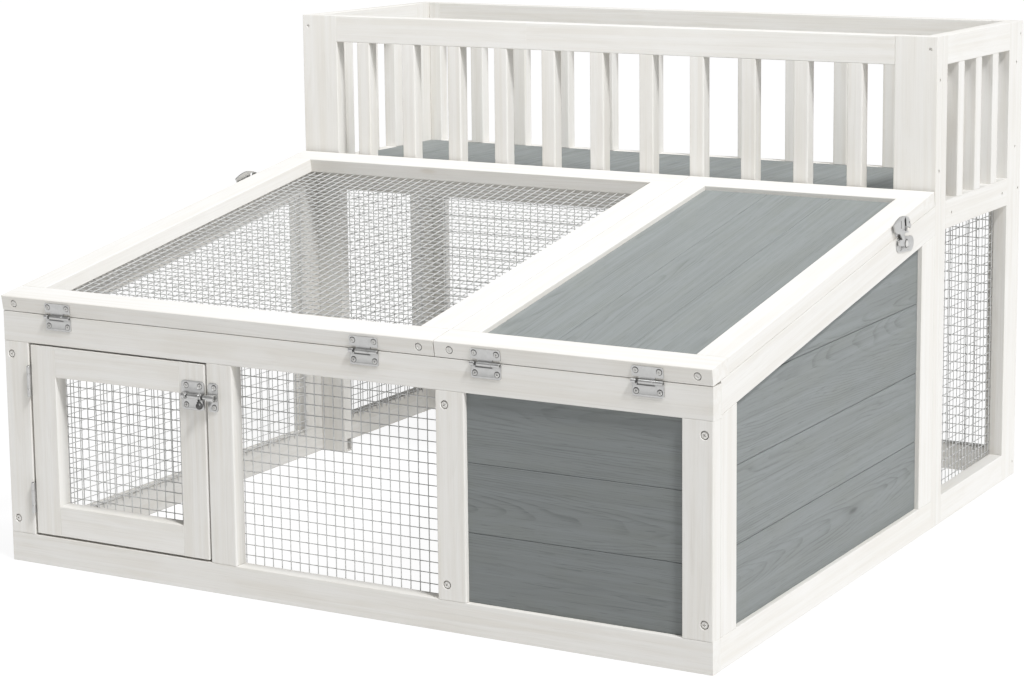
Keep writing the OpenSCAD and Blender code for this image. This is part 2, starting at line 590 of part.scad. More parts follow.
module bolt_knob() color(zinc) place() difference() {
  union() {
    rod_x([knob_x - 2.25, rod_y, base_z], 3.9, 4.5);
    translate([knob_x, rod_y, base_z]) rotate([-knob_a, 0, 0]) rotate([0, -knob_b, 0]) {
      translate([0, 0, -knob_len / cos(knob_b)]) cylinder(r = 1.2, h = knob_len / cos(knob_b) - 3);
      translate([0, 0, -knob_len / cos(knob_b)]) sphere(r = knob_r);
    }
  }
  rod_x([knob_x - 4, rod_y, base_z], rod_r + 0.05, 8);
}
module bolt_keeper() color(zinc) place() difference() {
  union() {
    round_plate(post_x0 + 2.6, post_x0 + 16.6, base_z - 17.3, base_z + 17.3, 4);
    strap(post_x0 + 5.2, 10.2, 4.3, rod_r + 0.6);
  }
  for (s = [-11.6, 11.6]) csk_dish(post_x0 + 11.2, base_z + s);
}

// ---------- side latches ----------
// plate on the wall with the pivot of the hook; its two screws stand on either side of the pivot
module pill(l, r) { union() { square([l - 2 * r, 2 * r], center = true); for (s = [-1, 1]) translate([s * (l / 2 - r), 0]) circle(r); } }
module face_out(x, h) { translate([x, 0, 0]) rotate([90, 0, 90]) linear_extrude(h) children(); }
module latch_screws(q) { for (p = q) translate([0.8, p[0], p[1]]) rotate([0, 0, 90]) csk_screw(8); }
module latch_dishes(q) { for (p = q) cone_x([-0.05, p[0], p[1]], 2.45, 3.6, 1.3); }
module latch_plate(side) latch_frame(side) {
  difference() {
    union() {
      face_out(0, 1.2) translate([5, -2.5]) rotate(-14) pill(57, 9.5);
      rod_x([1.1, 0, 0], 5, 1.5);
      rod_x([1.1, 0, 0], 2.6, 4.3);
      rod_x([5.2, 0, 0], 4.2, 1.2);
    }
    latch_dishes(plate_scr);
  }
  latch_screws(plate_scr);
}
module latch_plates() color(zinc) place() { latch_plate(-1); latch_plate(1); }
// hook: lever on the pivot, neck, and a leaf-shaped head with a mouth that closes over the stud
hook_head = [[-36, 33.9], [-31.8, 35.3], [-27.6, 36.3], [-23.4, 37.1], [-19.3, 37.6], [-15.5, 37.9], [-11.8, 37.9],
  [-7.3, 37.4], [-2.9, 36.3], [1.3, 35.1], [5.1, 33.5], [8.6, 31.9], [11.4, 30.2], [13.6, 28.1], [15.2, 25.8], [16, 23.6],
  [16.3, 21.6], [17.6, 19.2], [18, 17.4], [17.2, 15.9], [15.4, 15], [9, 11.3], [4.6, 12.9], [-1, 13.7], [-4.4, 13],
  [-4.4, 11], [-2.6, 6], [-9.5, 6], [-14.2, 12.9], [-17.2, 16.6], [-18.2, 18.6], [-20.6, 18.9], [-24, 19.2], [-27, 20.4],
  [-29.6, 22.1], [-31.8, 24], [-33.1, 26], [-33.6, 28.4], [-34, 31]];
module hook(side) latch_frame(side) face_out(2.9, 2) difference() {
  union() {
    circle(6.2);
    translate([-5, 2.5]) rotate(-16) pill(38, 4);
    polygon(hook_head);
  }
  circle(2.65);
  // mouth, its closed end round the stud, open to the back and below
  intersection() {
    difference() { circle(21.2); circle(15.8); }
    polygon([[st_x, 0], [60, 0], [60, 40], [st_x, 40]]);
  }
  translate([st_x, st_y]) circle(2.7);
  // relief slot above the mouth, slit and small hole beside it
  translate([-1.3, 19]) square([3.2, 10.4]);
  translate([0.3, 29.4]) circle(1.6);
  translate([-13.4, 22.4]) square([0.9, 8.6]);
  translate([13.2, 23.4]) circle(1.3);
}
module left_latch_hook() color(zinc) place() hook(-1);
module right_latch_hook() color(zinc) place() hook(1);
// keeper on the lid: plate with the stud, two screws
module keeper(side) latch_frame(side) {
  difference() {
    face_out(0, 1.2) translate([-3, 22.3]) union() { square([42, 9], center = true); square([36, 15], center = true);
      for (i = [-1, 1]) for (j = [-1, 1]) translate([i * 18, j * 4.5]) circle(3); }
    latch_dishes(keeper_scr);
  }
  rod_x([1.1, st_x, st_y], 2.3, 4.5);
  latch_screws(keeper_scr);
}
module left_latch_keeper() color(zinc) place() keeper(-1);
module right_latch_keeper() color(zinc) place() keeper(1);

// ---------- screws ----------
module mesh_lid_screws() color(zinc) place() lid_frame() {
  for (x = [lid_scr_x[0], lid_scr_x[1]]) translate([x, 0.3, t / 2]) pan_screw(3.9, 2, 52, 1.1);
  for (x = hinge_x_mesh) for (s = [-1, 1]) translate([x + s * 14.1, -0.8, 10.3]) csk_screw(8);
}
module shelter_lid_screws() color(zinc) place() lid_frame() {
  for (x = [lid_scr_x[2], lid_scr_x[3]]) translate([x, 0.3, t / 2]) pan_screw(3.9, 2, 52, 1.1);
  for (x = hinge_x_shelter) for (s = [-1, 1]) translate([x + s * 14.1, -0.8, 10.3]) csk_screw(8);
}
module door_screws() color(zinc) place() {
  for (x = base_scr) for (s = [-11.6, 11.6]) translate([x, -0.8, base_z + s]) csk_screw(8);
  for (z = dh_z) for (s = [-12, 12]) rod_x([door_x0 - 0.9, 9, z + s], 1.2, 11);
}
module frame_screws() color(zinc) place() {
  for (x = scr_x) for (z = scr_z) translate([x, 0.4, z]) pan_screw(4.3, 2, 48, 2.6);
  for (x = concat(hinge_x_mesh, hinge_x_shelter)) for (s = [-1, 1]) translate([x + s * 14.1, -0.8, hx_z - 10.7]) csk_screw(8);
  for (s = [-11.6, 11.6]) translate([post_x0 + 11.2, -0.8, base_z + s]) csk_screw(8);
  for (z = dh_z) for (s = [-12, 12]) rod_x([rw - 10.5, 9, z + s], 1.2, 11.4);
  for (p = rear_scr) { rod_x([1.2, p[0], p[1]], 2, p[2]); rod_x([run_w - 1.2 - p[2], p[0], p[1]], 2, p[2]); }
  for (x = [9.6, run_w - 9.6]) rod_y([x, front_d + 1.2, top_z0 + 21], 2, 30);
}

front_bottom_rail();
front_top_rail();
front_left_stile();
front_door_post();
front_middle_stile();
front_right_stile();
front_mesh();
front_planks();
left_wall_rails();
left_wall_stiles();
left_wall_mesh();
right_wall_rails();
right_wall_stiles();
right_wall_planks();
partition_frame();
partition_planks();
rear_legs();
rear_front_rails();
front_pickets();
rear_left_frame();
rear_left_pickets();
rear_left_mesh();
rear_right_frame();
rear_right_pickets();
rear_right_mesh();
back_frame();
back_pickets();
back_mesh();
deck_bearers();
deck_planks();
mesh_lid_cross_rails();
mesh_lid_side_rails();
mesh_lid_mesh();
mesh_lid_screws();
shelter_lid_cross_rails();
shelter_lid_side_rails();
shelter_lid_planks();
shelter_lid_screws();
door_stiles();
door_rails();
door_mesh();
door_screws();
lid_hinge_wall_leaves();
mesh_lid_hinge_leaves();
shelter_lid_hinge_leaves();
lid_hinge_pins();
door_hinge_frame_leaves();
door_hinge_door_leaves();
door_hinge_pins();
bolt_base();
bolt_rod();
bolt_knob();
bolt_keeper();
latch_plates();
left_latch_hook();
right_latch_hook();
left_latch_keeper();
right_latch_keeper();
frame_screws();
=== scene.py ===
import math
import random

import bpy
import bmesh
from mathutils import Matrix, Vector
from mathutils.geometry import tessellate_polygon


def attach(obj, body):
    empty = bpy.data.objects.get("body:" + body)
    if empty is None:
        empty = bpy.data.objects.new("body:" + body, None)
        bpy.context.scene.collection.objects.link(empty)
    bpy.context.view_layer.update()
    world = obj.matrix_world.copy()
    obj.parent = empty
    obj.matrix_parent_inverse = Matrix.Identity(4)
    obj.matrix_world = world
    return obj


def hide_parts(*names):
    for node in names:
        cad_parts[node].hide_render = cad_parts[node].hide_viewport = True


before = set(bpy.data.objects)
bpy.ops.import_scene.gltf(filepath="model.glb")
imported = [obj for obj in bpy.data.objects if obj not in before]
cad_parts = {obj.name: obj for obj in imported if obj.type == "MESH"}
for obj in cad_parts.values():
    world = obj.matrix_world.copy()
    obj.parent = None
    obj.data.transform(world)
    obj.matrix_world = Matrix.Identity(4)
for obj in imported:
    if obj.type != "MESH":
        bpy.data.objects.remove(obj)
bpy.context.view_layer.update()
random.seed(7)

# ------------------------------------------------------------------ sizes (mm, drawing frame: front left bottom corner)
W, FD, RD, FH, DECK, FENCE = 960.0, 640.0, 325.0, 313.5, 422.5, 633.0
D = FD + RD
T, RW, LEG = 19.0, 37.0, 57.5
ANG = math.radians(9.46)
TA, CA, SA = math.tan(ANG), math.cos(ANG), math.sin(ANG)
YM = (D - (10.5 * math.sin(math.radians(16.55)) + 4.2 + 5.2)) / 2
DOOR0, DOOR1 = 40.0, 301.5
POST0, POST1 = 304.0, 340.5
MID0, MID1 = 617.8, 654.8
RIGHT0 = 923.0
DIV0, DIV1 = 620.0, 639.0
DZ0, DZ1 = 39.5, 274.5
DST = 37.5
SY0, SY1 = 19.0, 640.0
SI0, SI1 = 57.5, 597.0
LY1, BY1 = 659.0, 676.5
PY0, BK0 = 912.0, 946.0
MZ0, TZ0 = 385.5, 596.0
LLEN = (FD - 1.8) / CA
LIFT = 0.3
ML1, SL0 = MID0 - 0.5, MID0 + 0.5
PITCH, WR = 12.7, 0.71
HXY, HXZ = -3.1, 311.9
HX_MESH = (86.4, 525.6)
HX_SHEL = (684.5, 883.7)
DHX, DHY = 38.5, -2.9
DHZ = (84.0, 229.5)
RODY, BZ, ROD = -5.2, 236.6, 2.9
BX0, BX1 = 268.3, 301.0
KNX = BX1 - 5.75
BSX = (BX0 + 6.9, BX1 - 6.2)
KSX = POST0 + 11.2

X, Y, Z = Vector((1, 0, 0)), Vector((0, 1, 0)), Vector((0, 0, 1))


def joint_z(y):
    return FH + TA * y


def rail_z(y):
    return joint_z(y) - RW / CA


def trans(x, y, z):
    return Matrix.Translation((x, y, z))


LID = trans(0, 0, FH) @ Matrix.Rotation(ANG, 4, "X") @ trans(0, 0, LIFT)


def latch(side):
    s, h = (524.0, -11.2) if side < 0 else (535.0, -13.0)
    m = trans(0 if side < 0 else W, 0, FH) @ Matrix.Rotation(ANG, 4, "X") @ trans(0, s, h)
    # local x goes up the slope, local y is square to it, local z is outwards
    out = -1 if side < 0 else 1
    return m @ Matrix(((0, 0, out, 0), (1, 0, 0, 0), (0, 1, 0, 0), (0, 0, 0, 1)))


# ------------------------------------------------------------------ materials
class Nodes:
    """short hand for a node tree"""

    def __init__(self, mat):
        mat.use_nodes = True
        self.t = mat.node_tree
        self.n = self.t.nodes
        self.bsdf = self.n["Principled BSDF"]

    def new(self, kind, **props):
        node = self.n.new(kind)
        for k, v in props.items():
            setattr(node, k, v)
        return node

    def link(self, a, b):
        self.t.links.new(a, b)

    def attr(self, name):
        return self.new("ShaderNodeAttribute", attribute_name=name, attribute_type="GEOMETRY")

    def scaled(self, src, scale, loc=(0, 0, 0)):
        m = self.new("ShaderNodeMapping")
        m.inputs["Scale"].default_value = scale
        m.inputs["Location"].default_value = loc
        self.link(src, m.inputs["Vector"])
        return m.outputs["Vector"]

    def noise(self, vec, scale=1.0, detail=4.0, rough=0.55, distort=0.0):
        n = self.new("ShaderNodeTexNoise")
        n.inputs["Scale"].default_value = scale
        n.inputs["Detail"].default_value = detail
        n.inputs["Roughness"].default_value = rough
        n.inputs["Distortion"].default_value = distort
        self.link(vec, n.inputs["Vector"])
        return n.outputs["Fac"]

    def math(self, op, a, b=None, clamp=False):
        n = self.new("ShaderNodeMath", operation=op, use_clamp=clamp)
        for i, v in enumerate((a, b)):
            if v is None:
                continue
            if isinstance(v, (int, float)):
                n.inputs[i].default_value = v
            else:
                self.link(v, n.inputs[i])
        return n.outputs[0]

    def ramp(self, src, stops):
        r = self.new("ShaderNodeValToRGB")
        e = r.color_ramp.elements
        while len(e) < len(stops):
            e.new(0.5)
        for el, (pos, col) in zip(e, stops):
            el.position = pos
            el.color = (*col, 1) if len(col) == 3 else col
        self.link(src, r.inputs["Fac"])
        return r.outputs["Color"]

    def rng(self, src, a, b, c, d):
        r = self.new("ShaderNodeMapRange")
        for i, v in enumerate((a, b, c, d)):
            r.inputs[i + 1].default_value = v
        self.link(src, r.inputs[0])
        return r.outputs[0]

    def smooth(self, src, a, b, c, d):
        r = self.new("ShaderNodeMapRange", interpolation_type="SMOOTHSTEP")
        for i, v in enumerate((a, b, c, d)):
            r.inputs[i + 1].default_value = v
        self.link(src, r.inputs[0])
        return r.outputs[0]

    def mix(self, fac, a, b, blend="MIX"):
        m = self.new("ShaderNodeMix", data_type="RGBA", blend_type=blend)
        if isinstance(fac, (int, float)):
            m.inputs[0].default_value = fac
        else:
            self.link(fac, m.inputs[0])
        for i, v in ((6, a), (7, b)):
            if isinstance(v, tuple):
                m.inputs[i].default_value = (*v, 1)
            else:
                self.link(v, m.inputs[i])
        return m.outputs[2]

    def bump(self, height, strength, distance, normal=None):
        b = self.new("ShaderNodeBump")
        b.inputs["Strength"].default_value = strength
        b.inputs["Distance"].default_value = distance
        self.link(height, b.inputs["Height"])
        if normal is not None:
            self.link(normal, b.inputs["Normal"])
        return b.outputs["Normal"]


def wood_fields(n, spacing):
    """growth rings about the pith of each board, fibres, bands, blotches and knots"""
    g = n.attr("grain").outputs["Vector"]
    sep = n.new("ShaderNodeSeparateXYZ")
    n.link(n.attr("pith").outputs["Vector"], sep.inputs[0])
    rad = n.math("SQRT", n.math("ADD", n.math("MULTIPLY", sep.outputs["Y"], sep.outputs["Y"]), n.math("MULTIPLY", sep.outputs["Z"], sep.outputs["Z"])))
    slow = n.math("SUBTRACT", n.noise(n.scaled(g, (0.0045, 0.02, 0.02)), 1, 2, 0.5), 0.5)
    fast = n.math("SUBTRACT", n.noise(n.scaled(g, (0.016, 0.07, 0.07)), 1, 2, 0.5), 0.5)
    rad = n.math("ADD", rad, n.math("ADD", n.math("MULTIPLY", slow, 12.0), n.math("MULTIPLY", fast, 1.2)))
    f = n.math("FRACT", n.math("DIVIDE", rad, spacing))
    late = n.math("POWER", n.smooth(f, 0.25, 0.92, 0.0, 1.0), 3.0)
    line = n.math("MULTIPLY", late, n.smooth(f, 0.92, 1.0, 1.0, 0.0))
    zone = n.smooth(n.noise(n.scaled(g, (0.0035, 0.035, 0.035)), 1, 3, 0.5), 0.38, 0.62, 0.12, 1.0)
    broken = n.smooth(n.noise(n.scaled(g, (0.02, 0.5, 0.5)), 1, 3, 0.6), 0.34, 0.58, 0.25, 1.0)
    ring = n.math("MULTIPLY", n.math("MULTIPLY", line, zone), broken)
    fibre = n.noise(n.scaled(g, (0.012, 0.9, 0.9)), 1, 3, 0.6)
    band = n.noise(n.scaled(g, (0.0024, 0.13, 0.13)), 1, 3, 0.5)
    blot = n.noise(n.scaled(g, (0.010, 0.03, 0.03)), 1, 4, 0.55)
    check = n.smooth(n.noise(n.scaled(g, (0.0045, 0.62, 0.62)), 1, 2, 0.5), 0.62, 0.74, 0.0, 1.0)
    dash = n.smooth(n.noise(n.scaled(g, (0.03, 0.85, 0.85)), 1, 2, 0.5), 0.60, 0.72, 0.0, 1.0)
    v = n.new("ShaderNodeTexVoronoi", feature="F1")
    v.inputs["Scale"].default_value = 1
    v.inputs["Randomness"].default_value = 1
    n.link(n.scaled(g, (0.0045, 0.017, 0.017)), v.inputs["Vector"])
    sepc = n.new("ShaderNodeSeparateXYZ")
    n.link(v.outputs["Color"], sepc.inputs[0])
    rare = n.math("GREATER_THAN", sepc.outputs["X"], 0.90)
    knot = n.math("MULTIPLY", n.smooth(v.outputs["Distance"], 0.03, 0.085, 1.0, 0.0), rare)
    halo = n.math("MULTIPLY", n.smooth(v.outputs["Distance"], 0.05, 0.22, 1.0, 0.0), rare)
    return dict(ring=ring, fibre=fibre, band=band, blot=blot, check=check, dash=dash, knot=knot, halo=halo)


def inner_shade_mask(n):
    """1 on the faces that look into the run and under the deck, which are darkened there as painted shade, 0 outside;
    in object space
    """
    sep = n.new("ShaderNodeSeparateXYZ")
    n.link(n.new("ShaderNodeTexCoord").outputs["Object"], sep.inputs[0])
    x, y, z = (sep.outputs[k] for k in "XYZ")
    side = n.smooth(n.math("ABSOLUTE", x), 0.4605, 0.4735, 1.0, 0.0)
    front = n.smooth(y, (3 - YM) / 1000, (16 - YM) / 1000, 0.0, 1.0)
    back = n.smooth(y, (D - 16 - YM) / 1000, (D - 3 - YM) / 1000, 1.0, 0.0)
    lid = n.math("ADD", n.math("MULTIPLY", y, TA), (FH + TA * YM) / 1000)
    top = n.math("MINIMUM", lid, (DECK - 3) / 1000)
    under = n.smooth(n.math("SUBTRACT", top, z), -0.001, 0.010, 0.0, 1.0)
    rear = n.smooth(y, (FD + 8 - YM) / 1000, (FD + 40 - YM) / 1000, 1.0, 0.35)
    return n.math("MULTIPLY", n.math("MULTIPLY", n.math("MULTIPLY", side, under), n.math("MULTIPLY", front, back)), rear)


def wood(name, spacing, light, dark, patch, line, line_amount, check_amount, knot_col, knot_amount, fibre_amount, tone_amount, rough, bump, inner_shade):
    m = bpy.data.materials.new(name)
    n = Nodes(m)
    w = wood_fields(n, spacing)
    base = n.mix(n.smooth(w["band"], 0.34, 0.66, 0.0, 1.0), light, dark)
    base = n.mix(n.smooth(w["blot"], 0.42, 0.70, 0.0, 0.55), base, patch)
    base = n.mix(n.math("MULTIPLY", w["ring"], line_amount), base, line)
    base = n.mix(n.math("MULTIPLY", w["check"], check_amount), base, line)
    base = n.mix(n.math("MULTIPLY", w["dash"], check_amount * 0.9), base, line)
    base = n.mix(n.math("MULTIPLY", w["halo"], knot_amount * 0.4), base, line)
    base = n.mix(n.math("MULTIPLY", w["knot"], knot_amount), base, knot_col)
    tone = n.rng(n.attr("tone").outputs["Fac"], -4.0, 4.0, 1 - 4 * tone_amount, 1 + 4 * tone_amount)
    shade = n.math("MULTIPLY", tone, n.rng(w["fibre"], 0.25, 0.75, 1 - fibre_amount, 1 + fibre_amount))
    # painted shade: faces inside the run and under the deck are darkened
    shade = n.math("MULTIPLY", shade, n.rng(inner_shade_mask(n), 0.0, 1.0, 1.0, 1 - inner_shade))
    hsv = n.new("ShaderNodeHueSaturation")
    n.link(shade, hsv.inputs["Value"])
    n.link(base, hsv.inputs["Color"])
    n.link(hsv.outputs["Color"], n.bsdf.inputs["Base Color"])
    n.link(n.rng(w["band"], 0.3, 0.7, rough, rough + 0.14), n.bsdf.inputs["Roughness"])
    n.bsdf.inputs["Specular IOR Level"].default_value = 0.30
    h = n.math("SUBTRACT", n.math("ADD", n.math("MULTIPLY", w["band"], 0.5), n.math("MULTIPLY", w["fibre"], 0.5)), n.math("MULTIPLY", w["ring"], 0.3))
    n.link(n.bump(h, bump, 0.0003), n.bsdf.inputs["Normal"])
    return m


def mat_whitewash():
    return wood("whitewashed_wood", 4.2, (0.694, 0.681, 0.651), (0.648, 0.627, 0.584), (0.716, 0.706, 0.682), (0.560, 0.535, 0.490),
                0.20, 0.30, (0.52, 0.46, 0.38), 0.36, 0.028, 0.022, 0.52, 0.45, 0.24)


def mat_grey():
    return wood("grey_stained_planks", 2.2, (0.196, 0.212, 0.213), (0.183, 0.197, 0.196), (0.184, 0.197, 0.188), (0.098, 0.106, 0.104),
                0.52, 0.50, (0.070, 0.074, 0.072), 0.70, 0.045, 0.035, 0.56, 0.7, 0.12)


def mat_metal(name, dark, light, r0, r1, scale, metallic):
    m = bpy.data.materials.new(name)
    n = Nodes(m)
    g = n.attr("grain").outputs["Vector"]
    cloud = n.noise(n.scaled(g, (scale, scale, scale)), 1, 4, 0.6)
    fine = n.noise(n.scaled(g, (scale * 9, scale * 9, scale * 9)), 1, 3, 0.6)
    v = n.new("ShaderNodeTexVoronoi", feature="F1")
    v.inputs["Scale"].default_value = 1
    n.link(n.scaled(g, (scale * 3, scale * 3, scale * 3)), v.inputs["Vector"])
    sep = n.new("ShaderNodeSeparateXYZ")
    n.link(v.outputs["Color"], sep.inputs[0])
    f = n.math("ADD", n.math("MULTIPLY", cloud, 0.8), n.math("MULTIPLY", sep.outputs["X"], 0.2))
    base = n.mix(n.rng(f, 0.25, 0.75, 0.0, 1.0), dark, light)
    base = n.mix(n.rng(fine, 0.58, 0.80, 0.0, 0.25), base, tuple(c * 0.6 for c in dark))
    # a tone below -1 marks a blackened piece, mostly painted shade in gaps, slots and hollows; one above 2 a piece that
    # is painted over
    tone = n.attr("tone").outputs["Fac"]
    base = n.mix(n.rng(tone, -3.0, -1.0, 0.92, 0.0), base, (0.022, 0.022, 0.022))
    paint = n.rng(tone, 2.0, 4.0, 0.0, 1.0)
    base = n.mix(paint, base, n.mix(n.rng(cloud, 0.3, 0.7, 0.0, 1.0), (0.700, 0.688, 0.660), (0.650, 0.632, 0.596)))
    n.link(base, n.bsdf.inputs["Base Color"])
    black = n.rng(tone, -3.0, -1.0, 0.15, 1.0)
    n.link(n.math("MULTIPLY", n.math("MULTIPLY", black, metallic), n.rng(paint, 0.0, 1.0, 1.0, 0.0)), n.bsdf.inputs["Metallic"])
    n.link(n.rng(f, 0.2, 0.8, r0, r1), n.bsdf.inputs["Roughness"])
    n.link(n.bump(fine, 0.2, 0.0001), n.bsdf.inputs["Normal"])
    return m


WHITE = mat_whitewash()
GREY = mat_grey()
WIRE = mat_metal("galvanised_wire", (0.42, 0.422, 0.418), (0.57, 0.572, 0.565), 0.42, 0.60, 0.22, 0.33)
ZINC = mat_metal("zinc_plated_fittings", (0.43, 0.43, 0.425), (0.53, 0.53, 0.525), 0.30, 0.46, 0.12, 0.86)


# ------------------------------------------------------------------ pieces
class Piece:
    """one Blender object that stands for one CAD node: islands in mm, each with its own grain frame"""

    def __init__(self, node, body, mat, smooth=False):
        self.node, self.body, self.mat, self.smooth = node, body, mat, smooth
        self.v, self.f, self.g, self.t, self.c = [], [], [], [], []

    def add(self, verts, faces, axes=None, offset=None, tone=None):
        base = len(self.v)
        if axes is None:
            axes = (X, Y, Z)
        if offset is None:
            offset = Vector((random.uniform(0, 4000), random.uniform(0, 400), random.uniform(0, 400)))
        if tone is None:
            tone = random.uniform(-1, 1)
        verts = [Vector(p) for p in verts]
        loc = [(p.dot(axes[0]), p.dot(axes[1]), p.dot(axes[2])) for p in verts]
        lo, hi = [min(c[i] for c in loc) for i in range(3)], [max(c[i] for c in loc) for i in range(3)]
        mid = [(lo[i] + hi[i]) / 2 for i in range(3)]
        # the pith runs beside the board and not quite along it
        pz = random.choice((-1, 1)) * ((hi[2] - lo[2]) / 2 + random.uniform(12, 55))
        py = random.uniform(-0.55, 0.55) * (hi[1] - lo[1])
        ky, kz = random.uniform(-0.012, 0.012), random.choice((-1, 1)) * random.uniform(0.012, 0.045)
        for p, c in zip(verts, loc):
            x, y, z = c[0] - mid[0], c[1] - mid[1], c[2] - mid[2]
            self.v.append(p)
            self.g.append((c[0] + offset.x, c[1] + offset.y, c[2] + offset.z))
            self.c.append((x, y - py - ky * x, z - pz - kz * x))
            self.t.append(tone)
        self.f += [[i + base for i in f] for f in faces]

    def add_bm(self, bm, M=None, axes=None, **k):
        if M is not None:
            bm.transform(M)
            if M.to_3x3().determinant() < 0:
                bmesh.ops.reverse_faces(bm, faces=bm.faces)
        bm.verts.index_update()
        self.add([v.co.copy() for v in bm.verts], [[v.index for v in f.verts] for f in bm.faces], axes, **k)
        bm.free()

    def done(self):
        me = bpy.data.meshes.new(self.node + "_look")
        o = Vector((-W / 2, -YM, 0))
        me.from_pydata([((p + o) * 0.001)[:] for p in self.v], [], self.f)
        me.update()
        a = me.attributes.new("grain", "FLOAT_VECTOR", "POINT")
        a.data.foreach_set("vector", [c for g in self.g for c in g])
        a = me.attributes.new("pith", "FLOAT_VECTOR", "POINT")
        a.data.foreach_set("vector", [q for c in self.c for q in c])
        a = me.attributes.new("tone", "FLOAT", "POINT")
        a.data.foreach_set("value", self.t)
        if self.smooth:
            me.shade_smooth()
            me.set_sharp_from_angle(angle=math.radians(34))
        else:
            me.shade_flat()
        me.materials.append(self.mat)
        ob = bpy.data.objects.new(self.node + "_look", me)
        bpy.context.scene.collection.objects.link(ob)
        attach(ob, self.body)
        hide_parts(self.node)
        return ob


def boolean(bm, cutters):
    """bm minus the cutters, each a bmesh"""
    scene = bpy.context.scene
    me = bpy.data.meshes.new("tmp_a")
    bm.to_mesh(me)
    bm.free()
    ob = bpy.data.objects.new("tmp_a", me)
    scene.collection.objects.link(ob)
    extra = []
    for c in cutters:
        mc = bpy.data.meshes.new("tmp_c")
        c.to_mesh(mc)
        c.free()
        oc = bpy.data.objects.new("tmp_c", mc)
        scene.collection.objects.link(oc)
        mod = ob.modifiers.new("cut", "BOOLEAN")
        mod.operation, mod.solver, mod.object = "DIFFERENCE", "EXACT", oc
        extra.append((oc, mc))
    bpy.context.view_layer.update()
    got = ob.evaluated_get(bpy.context.evaluated_depsgraph_get())
    out = bmesh.new()
    out.from_mesh(got.to_mesh())
    got.to_mesh_clear()
    bpy.data.objects.remove(ob)
    bpy.data.meshes.remove(me)
    for oc, mc in extra:
        bpy.data.objects.remove(oc)
        bpy.data.meshes.remove(mc)
    return out


def clip(pts, a, b, c):
    """part of a polygon where a*x + b*y <= c"""
    out = []
    for i, p in enumerate(pts):
        q = pts[(i + 1) % len(pts)]
        dp, dq = a * p[0] + b * p[1] - c, a * q[0] + b * q[1] - c
        if dp <= 0:
            out.append(p)
        if (dp < 0 < dq) or (dq < 0 < dp):
            s = dp / (dp - dq)
            out.append((p[0] + s * (q[0] - p[0]), p[1] + s * (q[1] - p[1])))
    return out


def board(piece, pts, axes, t0, t1, grain=(1, 0), M=None, bl=1.0, be=0.35, cuts=(), segs=2, tone=None, soft=None):
    """a board: outline pts in the plane of axes[0], axes[1], thickness t0 to t1 along axes[2]; long edges eased by bl, end edges by be;
    soft = (direction, station, size) rounds the long edges that lie at that station more"""
    A, B, N = axes
    bm = bmesh.new()
    lo = [bm.verts.new(A * p[0] + B * p[1] + N * t0) for p in pts]
    hi = [bm.verts.new(A * p[0] + B * p[1] + N * t1) for p in pts]
    bm.faces.new(lo)
    bm.faces.new(hi)
    k = len(pts)
    for i in range(k):
        bm.faces.new((lo[i], lo[(i + 1) % k], hi[(i + 1) % k], hi[i]))
    bmesh.ops.recalc_face_normals(bm, faces=bm.faces)
    G = (A * grain[0] + B * grain[1]).normalized()
    if soft:
        d, at, size = soft
        geom = [e for e in bm.edges if abs((e.verts[1].co - e.verts[0].co).normalized().dot(G)) > 0.97
                and abs((e.verts[0].co + e.verts[1].co).dot(d) / 2 - at) < 1e-4]
        bmesh.ops.bevel(bm, geom=geom, offset=size, offset_type="OFFSET", segments=4, profile=0.5, affect="EDGES", clamp_overlap=True)
    along = [e for e in bm.edges if abs((e.verts[1].co - e.verts[0].co).normalized().dot(G)) > 0.97
             and len(e.link_faces) == 2 and e.calc_face_angle(0) > 1.2]
    if bl > 0:
        bmesh.ops.bevel(bm, geom=along, offset=bl, offset_type="OFFSET", segments=segs, profile=0.5, affect="EDGES", clamp_overlap=True)
    ends = [e for e in bm.edges if len(e.link_faces) == 2
            and e.calc_face_angle(0) > 0.6 and max(abs(f.normal.dot(G)) for f in e.link_faces) > 0.9]
    if be > 0 and ends:
        bmesh.ops.bevel(bm, geom=ends, offset=be, offset_type="OFFSET", segments=1, profile=0.5, affect="EDGES", clamp_overlap=True)
    if cuts:
        made = [c() for c in cuts]
        for c in made:
            # an edge across each cut, so that no face has to go round a hole
            mid = sum((v.co for v in c.verts), Vector()) / len(c.verts) + G * 0.37
            bmesh.ops.bisect_plane(bm, geom=bm.verts[:] + bm.edges[:] + bm.faces[:], plane_co=mid, plane_no=G, dist=1e-5)
        bm = boolean(bm, made)
    side = N.cross(G)
    if M is not None:
        R = M.to_3x3()
        G, side, N = R @ G, R @ side, R @ N
    piece.add_bm(bm, M, (G, side, N), tone=tone)


def bx(piece, a, b, g, M=None, **k):
    """axis-aligned board from corner a to corner b with its grain along axis g"""
    gi = "xyz".index(g)
    rest = [i for i in range(3) if i != gi]
    wi, ti = sorted(rest, key=lambda i: -(b[i] - a[i]))
    ax = (X, Y, Z)
    A, B, N = ax[gi], ax[wi], ax[ti]
    board(piece, [(a[gi], a[wi]), (b[gi], a[wi]), (b[gi], b[wi]), (a[gi], b[wi])], (A, B, N), a[ti], b[ti], M=M, **k)


